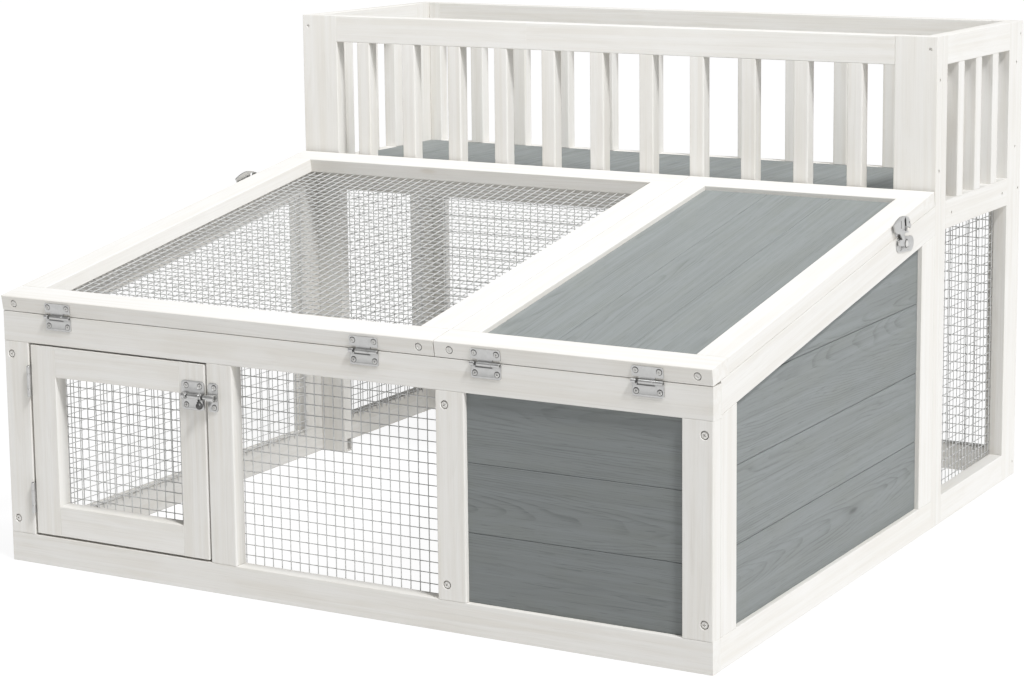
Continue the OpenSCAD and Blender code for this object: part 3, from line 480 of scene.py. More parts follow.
def lathe(profile, seg=24, M=None):
    """closed solid of revolution about local z; profile is (r, z) from the lower axis point to the upper one, or a closed ring"""
    bm = bmesh.new()
    ring = profile[0][0] > 0 or profile[-1][0] > 0
    rows = []
    for r, z in profile:
        if r <= 1e-9:
            rows.append([bm.verts.new((0, 0, z))])
        else:
            rows.append([bm.verts.new((r * math.cos(2 * math.pi * i / seg), r * math.sin(2 * math.pi * i / seg), z)) for i in range(seg)])
    pairs = list(zip(rows, rows[1:]))
    if ring:
        pairs.append((rows[-1], rows[0]))
    for a, b in pairs:
        for i in range(seg):
            j = (i + 1) % seg
            if len(a) == 1 and len(b) == 1:
                continue
            if len(a) == 1:
                bm.faces.new((a[0], b[j], b[i]))
            elif len(b) == 1:
                bm.faces.new((a[i], a[j], b[0]))
            else:
                bm.faces.new((a[i], a[j], b[j], b[i]))
    bmesh.ops.recalc_face_normals(bm, faces=bm.faces)
    if M is not None:
        bm.transform(M)
        if M.to_3x3().determinant() < 0:
            bmesh.ops.reverse_faces(bm, faces=bm.faces)
    return bm


def along(axis, p):
    """matrix that puts local z on +x, +y, -y, +z ... at point p"""
    d = {"x": X, "-x": -X, "y": Y, "-y": -Y, "z": Z, "-z": -Z}[axis]
    q = d.to_track_quat("Z", "Y")
    return trans(*p) @ q.to_matrix().to_4x4()


def bore_cut(axis, p, r, depth, chamfer=0.4, seg=28):
    """cutter for a round hole that enters along -axis from point p on the surface"""
    return lambda: lathe([(0, -depth), (r, -depth), (r, -chamfer), (r + chamfer, 0), (r + chamfer, 2), (0, 2)], seg, along(axis, p))


def box_cut(a, b):
    def make():
        bm = bmesh.new()
        bmesh.ops.create_cube(bm, size=1, matrix=trans(*[(a[i] + b[i]) / 2 for i in range(3)]) @ Matrix.Diagonal((*[b[i] - a[i] for i in range(3)], 1)))
        return bm
    return make


def plate(piece, outline, z0, z1, M, holes=(), bevel=0.25, tone=None, dishes=()):
    """flat metal plate in local x, y between z0 and z1; its upper rim is eased; dishes are screw holes that widen upwards"""
    below = [outline] + list(holes) + [circle(x, y, 3.3, 24) for x, y in dishes]
    above = [outline] + list(holes) + [circle(x, y, 3.7, 24) for x, y in dishes]
    bm = bmesh.new()
    lo = [[bm.verts.new((p[0], p[1], z0)) for p in lp] for lp in below]
    hi = [[bm.verts.new((p[0], p[1], z1)) for p in lp] for lp in above]
    holes = list(holes) + list(dishes)
    for rows, loops in ((lo, below), (hi, above)):
        flat = [v for lp in rows for v in lp]
        for t in tessellate_polygon([[Vector((p[0], p[1], 0)) for p in lp] for lp in loops]):
            bm.faces.new([flat[i] for i in t])
    rim = []
    for a, b in zip(lo, hi):
        for i in range(len(a)):
            j = (i + 1) % len(a)
            bm.faces.new((a[i], a[j], b[j], b[i]))
            rim.append((b[i], b[j]))
    bmesh.ops.recalc_face_normals(bm, faces=bm.faces)
    bmesh.ops.dissolve_limit(bm, angle_limit=0.01, verts=bm.verts, edges=bm.edges) if not holes else None
    if bevel:
        up = [e for e in bm.edges if len(e.link_faces) == 2 and e.calc_face_angle(0) > 0.9
              and abs(e.verts[0].co.z - z1) < 1e-6 and abs(e.verts[1].co.z - z1) < 1e-6]
        bmesh.ops.bevel(bm, geom=up, offset=bevel, offset_type="OFFSET", segments=2, profile=0.5, affect="EDGES", clamp_overlap=True)
    piece.add_bm(bm, M, tone=tone)
    for x, y in dishes:
        # painted shade: a blackened cup between the plate and the screw darkens each dish
        piece.add_bm(lathe([(1.4, z0 + 0.02), (3.26, z0 + 0.02), (3.5, z1 - 0.45), (3.3, z1 - 0.45), (2.4, z0 + 0.2), (1.4, z0 + 0.2)], 24), M @ trans(x, y, 0), tone=-3)


def arc(cx, cy, r, a0, a1, n):
    return [(cx + r * math.cos(math.radians(a0 + (a1 - a0) * i / n)), cy + r * math.sin(math.radians(a0 + (a1 - a0) * i / n))) for i in range(n + 1)]


def rrect(x0, x1, y0, y1, r, n=5):
    """rectangle with rounded corners; r may be four radii from the lower left, anticlockwise"""
    r = r if isinstance(r, tuple) else (r,) * 4
    out = []
    for (cx, cy, a), q in zip(((x0, y0, 180), (x1, y0, 270), (x1, y1, 0), (x0, y1, 90)), r):
        if q <= 0:
            out.append((cx, cy))
            continue
        sx, sy = (1 if cx == x0 else -1), (1 if cy == y0 else -1)
        out += arc(cx + sx * q, cy + sy * q, q, a, a + 90, n)
    return out


def circle(cx, cy, r, n=24):
    return [(cx + r * math.cos(2 * math.pi * i / n), cy + r * math.sin(2 * math.pi * i / n)) for i in range(n)]


def tube(piece, pts, r, sides=8, tone=None):
    """round wire along pts"""
    pts = [Vector(p) for p in pts]
    d = (pts[-1] - pts[0]).normalized()
    u = d.orthogonal().normalized()
    w = d.cross(u)
    v, f = [], []
    for p in pts:
        v += [p + (u * math.cos(2 * math.pi * i / sides) + w * math.sin(2 * math.pi * i / sides)) * r for i in range(sides)]
    for k in range(len(pts) - 1):
        for i in range(sides):
            j = (i + 1) % sides
            f.append([k * sides + i, k * sides + j, (k + 1) * sides + j, (k + 1) * sides + i])
    f.append(list(range(sides))[::-1])
    f.append([(len(pts) - 1) * sides + i for i in range(sides)])
    piece.add(v, f, tone=tone)


def face_round_cross(bm, ring, cross):
    """flat face of a screw head between its rim and its cross recess: both loops go round by angle"""
    def ang(v):
        return math.atan2(v.co.y, v.co.x) % (2 * math.pi)
    a, b = sorted(ring, key=ang), sorted(cross, key=ang)
    ta, tb = [ang(v) for v in a] + [ang(a[0]) + 2 * math.pi], [ang(v) for v in b] + [ang(b[0]) + 2 * math.pi]
    i = j = 0
    while i < len(a) or j < len(b):
        p, q = a[i % len(a)], b[j % len(b)]
        if j >= len(b) or (i < len(a) and ta[i + 1] <= tb[j + 1]):
            bm.faces.new((p, a[(i + 1) % len(a)], q))
            i += 1
        else:
            bm.faces.new((p, b[(j + 1) % len(b)], q))
            j += 1


def screw(piece, M, r, h, rs, length, turn=0.0, tone=None):
    """pan head wood screw: local z points out of the head, z = 0 is the underside of the head"""
    seg = 28
    bm = bmesh.new()
    prof = [(r * 0.97, 0.0), (r, 0.12 * h), (r, 0.40 * h), (0.96 * r, 0.62 * h), (0.86 * r, 0.84 * h), (0.70 * r, h)]
    rows = [[bm.verts.new((q * math.cos(2 * math.pi * i / seg), q * math.sin(2 * math.pi * i / seg), z)) for i in range(seg)] for q, z in prof]
    for a, b in zip(rows, rows[1:]):
        for i in range(seg):
            j = (i + 1) % seg
            bm.faces.new((a[i], a[j], b[j], b[i]))
    # cross recess
    L, w, dep = 0.52 * r, 0.115 * r, 0.62 * h
    c = [(w, w), (L, w), (L, -w), (w, -w), (w, -L), (-w, -L), (-w, -w), (-L, -w), (-L, w), (-w, w), (-w, L), (w, L)]
    ct, st = math.cos(turn), math.sin(turn)
    c = [(x * ct - y * st, x * st + y * ct) for x, y in c]
    top = [bm.verts.new((x, y, h)) for x, y in c]
    bot = [bm.verts.new((x * 0.8, y * 0.8, h - dep)) for x, y in c]
    face_round_cross(bm, rows[-1], top)
    for i in range(12):
        j = (i + 1) % 12
        bm.faces.new((top[i], top[j], bot[j], bot[i]))
    for q in ((0, 1, 2, 3), (3, 4, 5, 6), (6, 7, 8, 9), (9, 10, 11, 0), (0, 3, 6, 9)):
        bm.faces.new([bot[i] for i in q])
    # shank
    s1 = [bm.verts.new((rs * math.cos(2 * math.pi * i / seg), rs * math.sin(2 * math.pi * i / seg), 0)) for i in range(seg)]
    s2 = [bm.verts.new((rs * math.cos(2 * math.pi * i / seg), rs * math.sin(2 * math.pi * i / seg), -length * 0.85)) for i in range(seg)]
    tip = bm.verts.new((0, 0, -length))
    for i in range(seg):
        j = (i + 1) % seg
        bm.faces.new((rows[0][i], rows[0][j], s1[j], s1[i]))
        bm.faces.new((s1[i], s1[j], s2[j], s2[i]))
        bm.faces.new((s2[i], s2[j], tip))
    bmesh.ops.recalc_face_normals(bm, faces=bm.faces)
    piece.add_bm(bm, M, tone=tone)


def csk(piece, M, length=8.0, turn=0.0, shift=(-0.40, 0, -0.40)):
    """countersunk screw with a slightly raised face: local z points out of the head, z = 0 is the rim of the head"""
    seg, r = 28, 3.0
    bm = bmesh.new()
    prof = [(1.2, -1.95), (2.98, -0.16), (3.0, -0.05), (2.93, 0.04), (2.6, 0.19), (2.1, 0.30)]
    rows = [[bm.verts.new((q * math.cos(2 * math.pi * i / seg), q * math.sin(2 * math.pi * i / seg), z)) for i in range(seg)] for q, z in prof]
    L, w, dep, h = 1.65, 0.40, 0.75, 0.30
    c = [(w, w), (L, w), (L, -w), (w, -w), (w, -L), (-w, -L), (-w, -w), (-L, -w), (-L, w), (-w, w), (-w, L), (w, L)]
    ct, st = math.cos(turn), math.sin(turn)
    c = [(x * ct - y * st, x * st + y * ct) for x, y in c]
    top = [bm.verts.new((x, y, h)) for x, y in c]
    bot = [bm.verts.new((x * 0.75, y * 0.75, h - dep)) for x, y in c]
    face_round_cross(bm, rows[-1], top)
    for i in range(12):
        bm.faces.new((top[i], top[(i + 1) % 12], bot[(i + 1) % 12], bot[i]))
    for q in ((0, 1, 2, 3), (3, 4, 5, 6), (6, 7, 8, 9), (9, 10, 11, 0), (0, 3, 6, 9)):
        bm.faces.new([bot[i] for i in q])
    s2 = [bm.verts.new((1.2 * math.cos(2 * math.pi * i / seg), 1.2 * math.sin(2 * math.pi * i / seg), -1.95 - length * 0.8)) for i in range(seg)]
    rows.insert(0, s2)
    tip = bm.verts.new((0, 0, -1.95 - length))
    for a, b in zip(rows, rows[1:]):
        for i in range(seg):
            j = (i + 1) % seg
            bm.faces.new((a[i], a[j], b[j], b[i]))
    for i in range(seg):
        bm.faces.new((s2[i], s2[(i + 1) % seg], tip))
    bmesh.ops.recalc_face_normals(bm, faces=bm.faces)
    piece.add_bm(bm, trans(*shift) @ M, tone=2.7)


def ring(piece, M, r_out, r_in, length, bevel=0.25, seg=24, tone=None):
    """tube from local z = 0 to length"""
    b = bevel
    prof = [(r_in + b, 0), (r_out - b, 0), (r_out, b), (r_out, length - b), (r_out - b, length), (r_in + b, length), (r_in, length - b), (r_in, b)]
    piece.add_bm(lathe(prof, seg), M, tone=tone)


def pin(piece, M, r, length, seg=20, dome=0.35, tone=None):
    piece.add_bm(lathe([(0, 0), (r * 0.6, 0), (r, dome), (r, length - dome), (r * 0.6, length), (0, length)], seg), M, tone=tone)


def first(a, s):
    return math.ceil((a + WR - s) / PITCH)


def last(b, s):
    return math.floor((b - WR - s) / PITCH)


def wire(piece, p, q):
    """one mesh wire, never quite straight"""
    p, q = Vector(p), Vector(q)
    k = max(2, int((q - p).length / 45))
    d = (q - p).normalized()
    u = X if abs(d.x) < 0.5 else (Y if abs(d.y) < 0.5 else Z)
    pts = []
    for i in range(k + 1):
        s = i / k
        j = 0 if i in (0, k) else random.uniform(-0.16, 0.16)
        pts.append(p.lerp(q, s) + u * j)
    tube(piece, pts, WR, 8)


def mesh_xz(piece, x0, x1, z0, z1, f, d, xs, zs):
    for i in range(first(x0, xs), last(x1, xs) + 1):
        wire(piece, (xs + i * PITCH, f + d * (WR + 0.05), z0), (xs + i * PITCH, f + d * (WR + 0.05), z1))
    for i in range(first(z0, zs), last(z1, zs) + 1):
        wire(piece, (x0, f + d * (3 * WR + 0.08), zs + i * PITCH), (x1, f + d * (3 * WR + 0.08), zs + i * PITCH))


def mesh_yz(piece, y0, y1, z0, k0, k1, f, d, ys, zs):
    for i in range(first(y0, ys), last(y1, ys) + 1):
        y = ys + i * PITCH
        wire(piece, (f + d * (WR + 0.05), y, z0), (f + d * (WR + 0.05), y, k0 + k1 * (y - WR)))
    for i in range(first(z0, zs), last(k0 + k1 * y1, zs) + 1):
        z = zs + i * PITCH
        ya = max(y0, (z + WR - k0) / k1) if k1 > 0 else y0
        if y1 - ya > 4:
            wire(piece, (f + d * (3 * WR + 0.08), ya, z), (f + d * (3 * WR + 0.08), y1, z))


YZX = (Y, Z, X)
SCREW_Z = (54.6, 260.6)
SCREW_X = (10.5, DIV0 + 9.5, W - 10.5)
R = "run_frame"

# ------------------------------------------------------------------ front wall
p = Piece("front_bottom_rail", R, WHITE); bx(p, (0, 0, 0), (W, T, RW), "x"); p.done()
p = Piece("front_top_rail", R, WHITE); bx(p, (0, 0, FH - RW), (W, T, FH), "x"); p.done()
for node, x0, x1, sx, edge in (("front_left_stile", 0, RW, SCREW_X[0], 1.2), ("front_middle_stile", MID0, MID1, SCREW_X[1], 1.6), ("front_right_stile", RIGHT0, W, SCREW_X[2], 1.8)):
    p = Piece(node, R, WHITE)
    bx(p, (x0, 0, RW), (x1, T, FH - RW), "z", soft=(X, x1, edge), cuts=[bore_cut("-y", (sx, 0, z), 5.0, 3.0, 0.5) for z in SCREW_Z])
    p.done()
p = Piece("front_door_post", R, WHITE); bx(p, (POST0, 0, RW), (POST1, T, FH - RW), "z", soft=(X, POST1, 2.0)); p.done()
p = Piece("front_mesh", R, WIRE, True)
mesh_xz(p, POST1 - 5, MID0 + 1.6, RW - 5, FH - RW + 5, T, 1, POST1 + 12.7, RW + 8.8); p.done()
p = Piece("front_planks", R, GREY)
zs = (RW - 5, RW + 79.83, RW + 159.67, FH - RW + 5)
# darker tones: painted shade on the front-facing planks, darkest at the bottom
for i in range(3):
    bx(p, (MID1 - 5, 6, zs[i] + 0.05), (RIGHT0 + 5, 15, zs[i + 1] - 0.05), "x", bl=0.9, tone=(-2.6, -1.4, -0.6)[i])
p.done()


# ------------------------------------------------------------------ side walls and partition
def wall_rails(p, x0, x1, y0=SY0):
    bx(p, (x0, y0, 0), (x1, SY1, RW), "y")
    board(p, [(y0, rail_z(y0)), (SY1, rail_z(SY1)), (SY1, joint_z(SY1)), (y0, joint_z(y0))], YZX, x0, x1, grain=(CA, SA))


def upright(p, x0, x1, ya, yb, **k):
    board(p, [(ya, RW), (yb, RW), (yb, rail_z(yb)), (ya, rail_z(ya))], YZX, x0, x1, grain=(0, 1), **k)


p = Piece("left_wall_rails", R, WHITE); wall_rails(p, 0, T); p.done()
p = Piece("left_wall_stiles", R, WHITE); upright(p, 0, T, SY0, SI0); upright(p, 0, T, SI1, SY1); p.done()
p = Piece("left_wall_mesh", R, WIRE, True)
mesh_yz(p, SI0 - 5, SI1 + 5, RW - 5, FH - RW / CA + 5, TA, T, 1, SI0 + 4, RW + 4); p.done()
p = Piece("right_wall_rails", R, WHITE); wall_rails(p, W - T, W); p.done()
p = Piece("right_wall_stiles", R, WHITE); upright(p, W - T, W, SY0, SI0); upright(p, W - T, W, SI1, SY1); p.done()


def wall_planks(p, x0, y0, y1, zs, over):
    for a, b in zip(zs, zs[1:]):
        pts = clip([(y0, a + 0.05), (y1, a + 0.05), (y1, b - 0.05), (y0, b - 0.05)], -TA, 1, FH - RW / CA + over)
        board(p, pts, YZX, x0, x0 + 9, grain=(1, 0), bl=1.6, be=0.2)


p = Piece("right_wall_planks", R, GREY)
wall_planks(p, W - 15, SI0 - 5, SI1 + 5, (RW - 5, RW + 87.5, RW + 176, RW + 264.5, rail_z(SI1 + 5)), 0); p.done()
p = Piece("partition_frame", R, WHITE)
wall_rails(p, DIV0, DIV1, T)
for y in (T, 330.0, SY1 - RW):
    upright(p, DIV0, DIV1, y, y + RW)
p.done()
p = Piece("partition_planks", R, GREY)
wall_planks(p, DIV0 + 5, T + RW, 330.0, (RW, RW + 88, RW + 176, rail_z(330.0)), 0); p.done()

# ------------------------------------------------------------------ rear section
HOLES = [(651.0, FENCE - 55), (651.0, FENCE - 170), (D - 24.5, FENCE - 55), (D - 24.5, FENCE - 170),
         (699.0, 404.2), (892.0, 404.2), (D - 9.5, FENCE - RW / 2 + 1), (D - 9.5, DECK - RW / 2), (D - 9.5, RW / 2)]


def side_holes(side, y0, y1, z0=-1, z1=9999):
    x, ax = (0, "-x") if side < 0 else (W, "x")
    return [bore_cut(ax, (x, y, z), 2.3, 4.5, 0.2, 20) for y, z in HOLES if y0 < y < y1 and z0 < z < z1]


p = Piece("rear_legs", R, WHITE)
bx(p, (0, FD, 0), (LEG, LY1, FENCE), "z",
   cuts=[box_cut((LEG - 14, FD + 6, 2), (LEG + 1, FD + 15.5, 19)), bore_cut("-y", (9.6, FD, 617.0), 2.3, 4.5, 0.2, 20)] + side_holes(-1, FD, LY1))
bx(p, (W - LEG, FD, 0), (W, LY1, FENCE), "z",
   cuts=[box_cut((W - LEG - 1, FD + 6, 2), (W - LEG + 14, FD + 15.5, 19)), bore_cut("-y", (W - 9.6, FD, 617.0), 2.3, 4.5, 0.2, 20)] + side_holes(1, FD, LY1))
p.done()
p = Piece("rear_front_rails", R, WHITE)
bx(p, (LEG, FD, TZ0), (367, LY1, FENCE), "x", be=0.2)
bx(p, (367, FD, TZ0), (W - LEG, LY1, FENCE), "x", be=0.2)
bx(p, (LEG, FD, MZ0), (W - LEG, LY1, DECK), "x")
p.done()
for node, y in (("front_pickets", FD), ("back_pickets", BK0)):
    p = Piece(node, R, WHITE)
    for i in range(11):
        x = 91.2 + i * 74.7
        bx(p, (x, y, DECK), (x + 21, y + T, TZ0), "z", bl=1.7, segs=3)
    p.done()
for side, node in ((-1, "left"), (1, "right")):
    x0, x1 = (0, T) if side < 0 else (W - T, W)
    p = Piece("rear_%s_frame" % node, R, WHITE)
    bx(p, (x0, LY1, 0), (x1, BY1, FENCE), "z")
    bx(p, (x0, PY0, 0), (x1, D, FENCE), "z", cuts=side_holes(side, PY0, D))
    for z0, z1 in ((0, RW), (MZ0, DECK), (TZ0, FENCE)):
        bx(p, (x0, BY1, z0), (x1, PY0, z1), "y", cuts=side_holes(side, BY1, PY0, z0, z1))
    p.done()
    p = Piece("rear_%s_pickets" % node, R, WHITE)
    for i in range(3):
        y = 717.75 + 64.75 * i
        bx(p, (x0, y, DECK), (x1, y + 21, TZ0), "z", bl=1.3)
    p.done()
    p = Piece("rear_%s_mesh" % node, R, WIRE, True)
    mesh_yz(p, BY1 - 5, PY0 + 5, RW - 5, MZ0 + 5, 0, T if side < 0 else W - T, -side, BY1 + 4, RW + 4)
    p.done()
p = Piece("back_frame", R, WHITE)
for z0, z1 in ((0, RW), (MZ0, DECK), (TZ0, FENCE)):
    bx(p, (2 * T, BK0, z0), (W - 2 * T, D, z1), "x")
bx(p, (T, BK0, 0), (2 * T, D, FENCE), "z")
bx(p, (W - 2 * T, BK0, 0), (W - T, D, FENCE), "z")
p.done()
p = Piece("back_mesh", R, WIRE, True)
mesh_xz(p, 2 * T - 5, W - 2 * T + 5, RW - 5, MZ0 + 5, BK0, -1, 2 * T + 4, RW + 4); p.done()
p = Piece("deck_bearers", R, WHITE)
for y in (699.0, 892.0):
    bx(p, (T, y - 18.5, DECK - 27.8), (W - T, y + 18.5, DECK - 8.8), "x")
p.done()
p = Piece("deck_planks", R, GREY)
w = (W - 2 * T) / 10
for i in range(10):
    bx(p, (T + i * w + 0.1, LY1 + 0.2, DECK - 8.8), (T + (i + 1) * w - 0.1, BK0 - 0.2, DECK), "y", bl=1.2)
p.done()

# ------------------------------------------------------------------ lids
LSX = (18.0, ML1 - 19.5, SL0 + 19.5, W - 18.0)


def lid_cuts(xs):
    return [bore_cut("-y", (x, 0, T / 2), 4.6, 1.7, 0.3) for x in xs]


p = Piece("mesh_lid_cross_rails", "mesh_lid", WHITE)
bx(p, (0, 0, 0), (ML1, 38, T), "x", LID, cuts=lid_cuts(LSX[:2]))
bx(p, (0, LLEN - 37, 0), (ML1, LLEN, T), "x", LID)
p.done()
p = Piece("mesh_lid_side_rails", "mesh_lid", WHITE)
bx(p, (0, 38, 0), (RW, LLEN - 37, T), "y", LID)
bx(p, (ML1 - 39, 38, 0), (ML1, LLEN - 37, T), "y", LID)
p.done()
p = Piece("mesh_lid_mesh", "mesh_lid", WIRE, True)
x0, x1, y0, y1 = RW - 5, ML1 - 34, 33.0, LLEN - 32
for i in range(first(x0, RW + 6), last(x1, RW + 6) + 1):
    x = RW + 6 + i * PITCH
    wire(p, LID @ Vector((x, y0, -WR - 0.05)), LID @ Vector((x, y1, -WR - 0.05)))
for i in range(first(y0, 43), last(y1, 43) + 1):
    y = 43 + i * PITCH
    wire(p, LID @ Vector((x0, y, -3 * WR - 0.08)), LID @ Vector((x1, y, -3 * WR - 0.08)))
p.done()
p = Piece("shelter_lid_cross_rails", "shelter_lid", WHITE)
bx(p, (SL0, 0, 0), (W, 38, T), "x", LID, cuts=lid_cuts(LSX[2:]))
bx(p, (SL0, LLEN - 37, 0), (W, LLEN, T), "x", LID)
p.done()
p = Piece("shelter_lid_side_rails", "shelter_lid", WHITE)
bx(p, (SL0, 38, 0), (SL0 + 39, LLEN - 37, T), "y", LID)
bx(p, (W - RW, 38, 0), (W, LLEN - 37, T), "y", LID)
p.done()
p = Piece("shelter_lid_planks", "shelter_lid", GREY)
xa, xb = SL0 + 39, W - RW
xs = (xa - 5, xa + (xb - xa) / 3, xa + 2 * (xb - xa) / 3, xb + 5)
# lighter tones: painted light on the top-facing lid planks
for i in range(3):
    bx(p, (xs[i] + 0.05, 33, 4), (xs[i + 1] - 0.05, LLEN - 32, 13), "y", LID, bl=1.0, tone=(0.9, 0.3, 0.9)[i])
p.done()

# ------------------------------------------------------------------ door
p = Piece("door_stiles", "door", WHITE)
bx(p, (DOOR0, 0, DZ0), (DOOR0 + DST, T, DZ1), "z", bl=0.6, soft=(X, DOOR0, 1.6))
bx(p, (DOOR1 - DST, 0, DZ0), (DOOR1, T, DZ1), "z", bl=0.6, soft=(X, DOOR1, 2.0))
p.done()
p = Piece("door_rails", "door", WHITE)
for z in (DZ0, DZ1 - DST):
    bx(p, (DOOR0 + DST, 0, z), (DOOR1 - DST, T, z + DST), "x")
p.done()
p = Piece("door_mesh", "door", WIRE, True)
mesh_xz(p, DOOR0 + DST - 5, DOOR1 - DST + 5, DZ0 + DST - 5, DZ1 - DST + 5, T, 1, DOOR0 + DST + 6, DZ0 + DST + 6); p.done()

# ------------------------------------------------------------------ lid hinges
A = 19.0
K0, K1 = -A + 9, A - 11
LXY = HXY * CA + (HXZ - FH) * SA
LXZ = -HXY * SA + (HXZ - FH) * CA - LIFT
# local x of a hinge plate is x, local y is up, local z is outwards (-y)
FACE = Matrix(((1, 0, 0, 0), (0, 0, -1, 0), (0, 1, 0, 0), (0, 0, 0, 1)))


def jitter():
    return random.uniform(0, math.pi / 2)


def wall_leaf(p, x):
    z0, z1 = HXZ - 16.3, HXZ - 0.2
    out = arc(-A + 2.2, z0 + 2.2, 2.2, 180, 270, 5) + arc(A - 2.2, z0 + 2.2, 2.2, 270, 360, 5)
    out += [(A, z1), (K1 + 0.3, z1), (K1 + 0.3, HXZ - 4.5), (K0 - 3.3, HXZ - 4.5), (K0 - 3.3, z1), (-A, z1)]
    M = trans(x, 0, 0) @ FACE
    # painted shadow: a thin blackened plate sticks out at the lower left of the leaf
    plate(p, rrect(-A - 0.45, A - 1, z0 - 0.45, z1 - 2.5, 2.4), 0.01, 0.4, M, bevel=0.12, tone=-2.2)
    # painted shade: a blackened strip fills the notch behind the knuckle
    plate(p, [(K0 - 3.2, HXZ - 4.45), (K1 + 0.2, HXZ - 4.45), (K1 + 0.2, HXZ - 0.9), (K0 - 3.2, HXZ - 0.9)], 0.02, 0.3, M, bevel=0.1, tone=-3)
    plate(p, out, 0, 1.2, M, bevel=0.3, dishes=[(s, HXZ - 10.7) for s in (-14.1, 14.1)])
    ring(p, along("x", (x - A, HXY, HXZ)), 2.6, 1.36, A + K0 - 3.3, 0.2)
    ring(p, along("x", (x + K1 + 0.3, HXY, HXZ)), 2.6, 1.36, A - K1 - 0.3, 0.2)


def lid_leaf(p, x):
    M = LID @ trans(x, 0, 0) @ FACE
    out = [(-A, 3.4), (K0 - 0.6, 3.4), (K0 - 0.6, 1.6), (K1 + 0.6, 1.6), (K1 + 0.6, 3.4), (A, 3.4)] + arc(A - 2.2, 15.2 - 2.2, 2.2, 0, 90, 5) + arc(-A + 2.2, 15.2 - 2.2, 2.2, 90, 180, 5)
    plate(p, out, 0, 1.2, M, bevel=0.3, dishes=[(s, 10.3) for s in (-14.1, 14.1)])
    plate(p, [(K0, LXZ + 0.2), (K1, LXZ + 0.2), (K1, 2.0), (K0, 2.0)], 0.4, 1.15, M, bevel=0)
    ring(p, LID @ along("x", (x + K0, LXY, LXZ)), 2.6, 1.36, K1 - K0, 0.2)


p = Piece("lid_hinge_wall_leaves", R, ZINC, True)
for x in HX_MESH + HX_SHEL:
    wall_leaf(p, x)
p.done()
p = Piece("mesh_lid_hinge_leaves", "mesh_lid", ZINC, True)
for x in HX_MESH:
    lid_leaf(p, x)
p.done()
p = Piece("shelter_lid_hinge_leaves", "shelter_lid", ZINC, True)
for x in HX_SHEL:
    lid_leaf(p, x)
p.done()
p = Piece("lid_hinge_pins", R, ZINC, True)
for x in HX_MESH + HX_SHEL:
    # blackened pins: painted shade in the gaps between the knuckles
    pin(p, along("x", (x - A - 0.4, HXY, HXZ)), 1.3, 2 * A + 0.8, tone=-3)
p.done()

# ------------------------------------------------------------------ door hinges
DK = 9.3


def door_leaf(p, z, fixed):
    x0 = RW if fixed else DOOR0 - 1.1
    # plate in the gap: local x is depth (y), local y is z, local z is +x
    M = Matrix(((0, 0, 1, x0), (1, 0, 0, 0), (0, 1, 0, 0), (0, 0, 0, 1)))
    if fixed:
        out = [(-2.9, z - A), (14, z - A)] + arc(14, z - A + 2, 2, 270, 360, 4) + arc(14, z + A - 2, 2, 0, 90, 4)
        out += [(-2.9, z + A), (-2.9, z + DK + 0.3), (-0.4, z + DK + 0.3), (-0.4, z - DK - 0.3), (-2.9, z - DK - 0.3)]
    else:
        out = [(-0.4, z - A), (14, z - A)] + arc(14, z - A + 2, 2, 270, 360, 4) + arc(14, z + A - 2, 2, 0, 90, 4)
        out += [(-0.4, z + A), (-0.4, z + DK), (-2.9, z + DK), (-2.9, z - DK), (-0.4, z - DK)]
    plate(p, out, 0, 1.1, M, holes=[circle(9, z + s, 1.35, 16) for s in (-12, 12)], bevel=0)
    if fixed:
        ring(p, along("z", (DHX, DHY, z - A)), 2.4, 1.36, A - DK - 0.3, 0.2)
        ring(p, along("z", (DHX, DHY, z + DK + 0.3)), 2.4, 1.36, A - DK - 0.3, 0.2)
    else:
        ring(p, along("z", (DHX, DHY, z - DK)), 2.4, 1.36, 2 * DK, 0.2)


p = Piece("door_hinge_frame_leaves", R, ZINC, True)
for z in DHZ:
    door_leaf(p, z, True)
p.done()
p = Piece("door_hinge_door_leaves", "door", ZINC, True)
for z in DHZ:
    door_leaf(p, z, False)
p.done()
p = Piece("door_hinge_pins", R, ZINC, True)
for z in DHZ:
    pin(p, along("z", (DHX, DHY, z - A - 0.4)), 1.3, 2 * A + 0.8, tone=-3)
p.done()


# ------------------------------------------------------------------ bolt
def strap(p, x, w, r, bore):
    """a strap of sheet bent over the rod: outline in y (local x) and z (local y), drawn out along x"""
    out = [(-0.9, -r), (-0.9, r), (RODY, r)] + arc(RODY, 0, r, 90, 270, 16)[1:-1] + [(RODY, -r)]
    M = Matrix(((0, 0, 1, x), (1, 0, 0, 0), (0, 1, 0, BZ), (0, 0, 0, 1)))
    plate(p, out, 0, w, M, holes=[circle(RODY, 0, bore, 24)], bevel=0.3)


p = Piece("bolt_base", "door", ZINC, True)
plate(p, rrect(BX0, BX1, BZ - 17.3, BZ + 17.3, 4), 0, 1.2, FACE, bevel=0.3, dishes=[(x, BZ + s) for x in BSX for s in (-11.6, 11.6)])
# painted shadow: a thin blackened plate sticks out at the lower left of the base
plate(p, rrect(BX0 - 0.45, BX1 - 1, BZ - 17.75, BZ + 16.3, 4), 0.01, 0.4, FACE, bevel=0.12, tone=-2.2)
strap(p, BX0 + 3.9, 4.8, 3.9, ROD + 0.06)
strap(p, BX1 - 2.4, 2.4, 3.9, ROD + 0.06)
p.done()
p = Piece("bolt_rod", "bolt_rod", ZINC, True)
RX0, RX1 = BX0 + 4.4, DOOR1 + 15.3
L = RX1 - RX0
ROD_M = along("x", (RX0, RODY, BZ))
SHADE_NECKS = ((5.5, 7.9), (27.7, 30.6))


def rod_part(a, b, ra, rb):
    """unblackened stretch of the rod from a to b with eased ends"""
    p.add_bm(lathe([(0, a), (ROD - ra, a), (ROD, a + ra), (ROD, b - rb), (ROD - rb, b), (0, b)], 32), ROD_M)


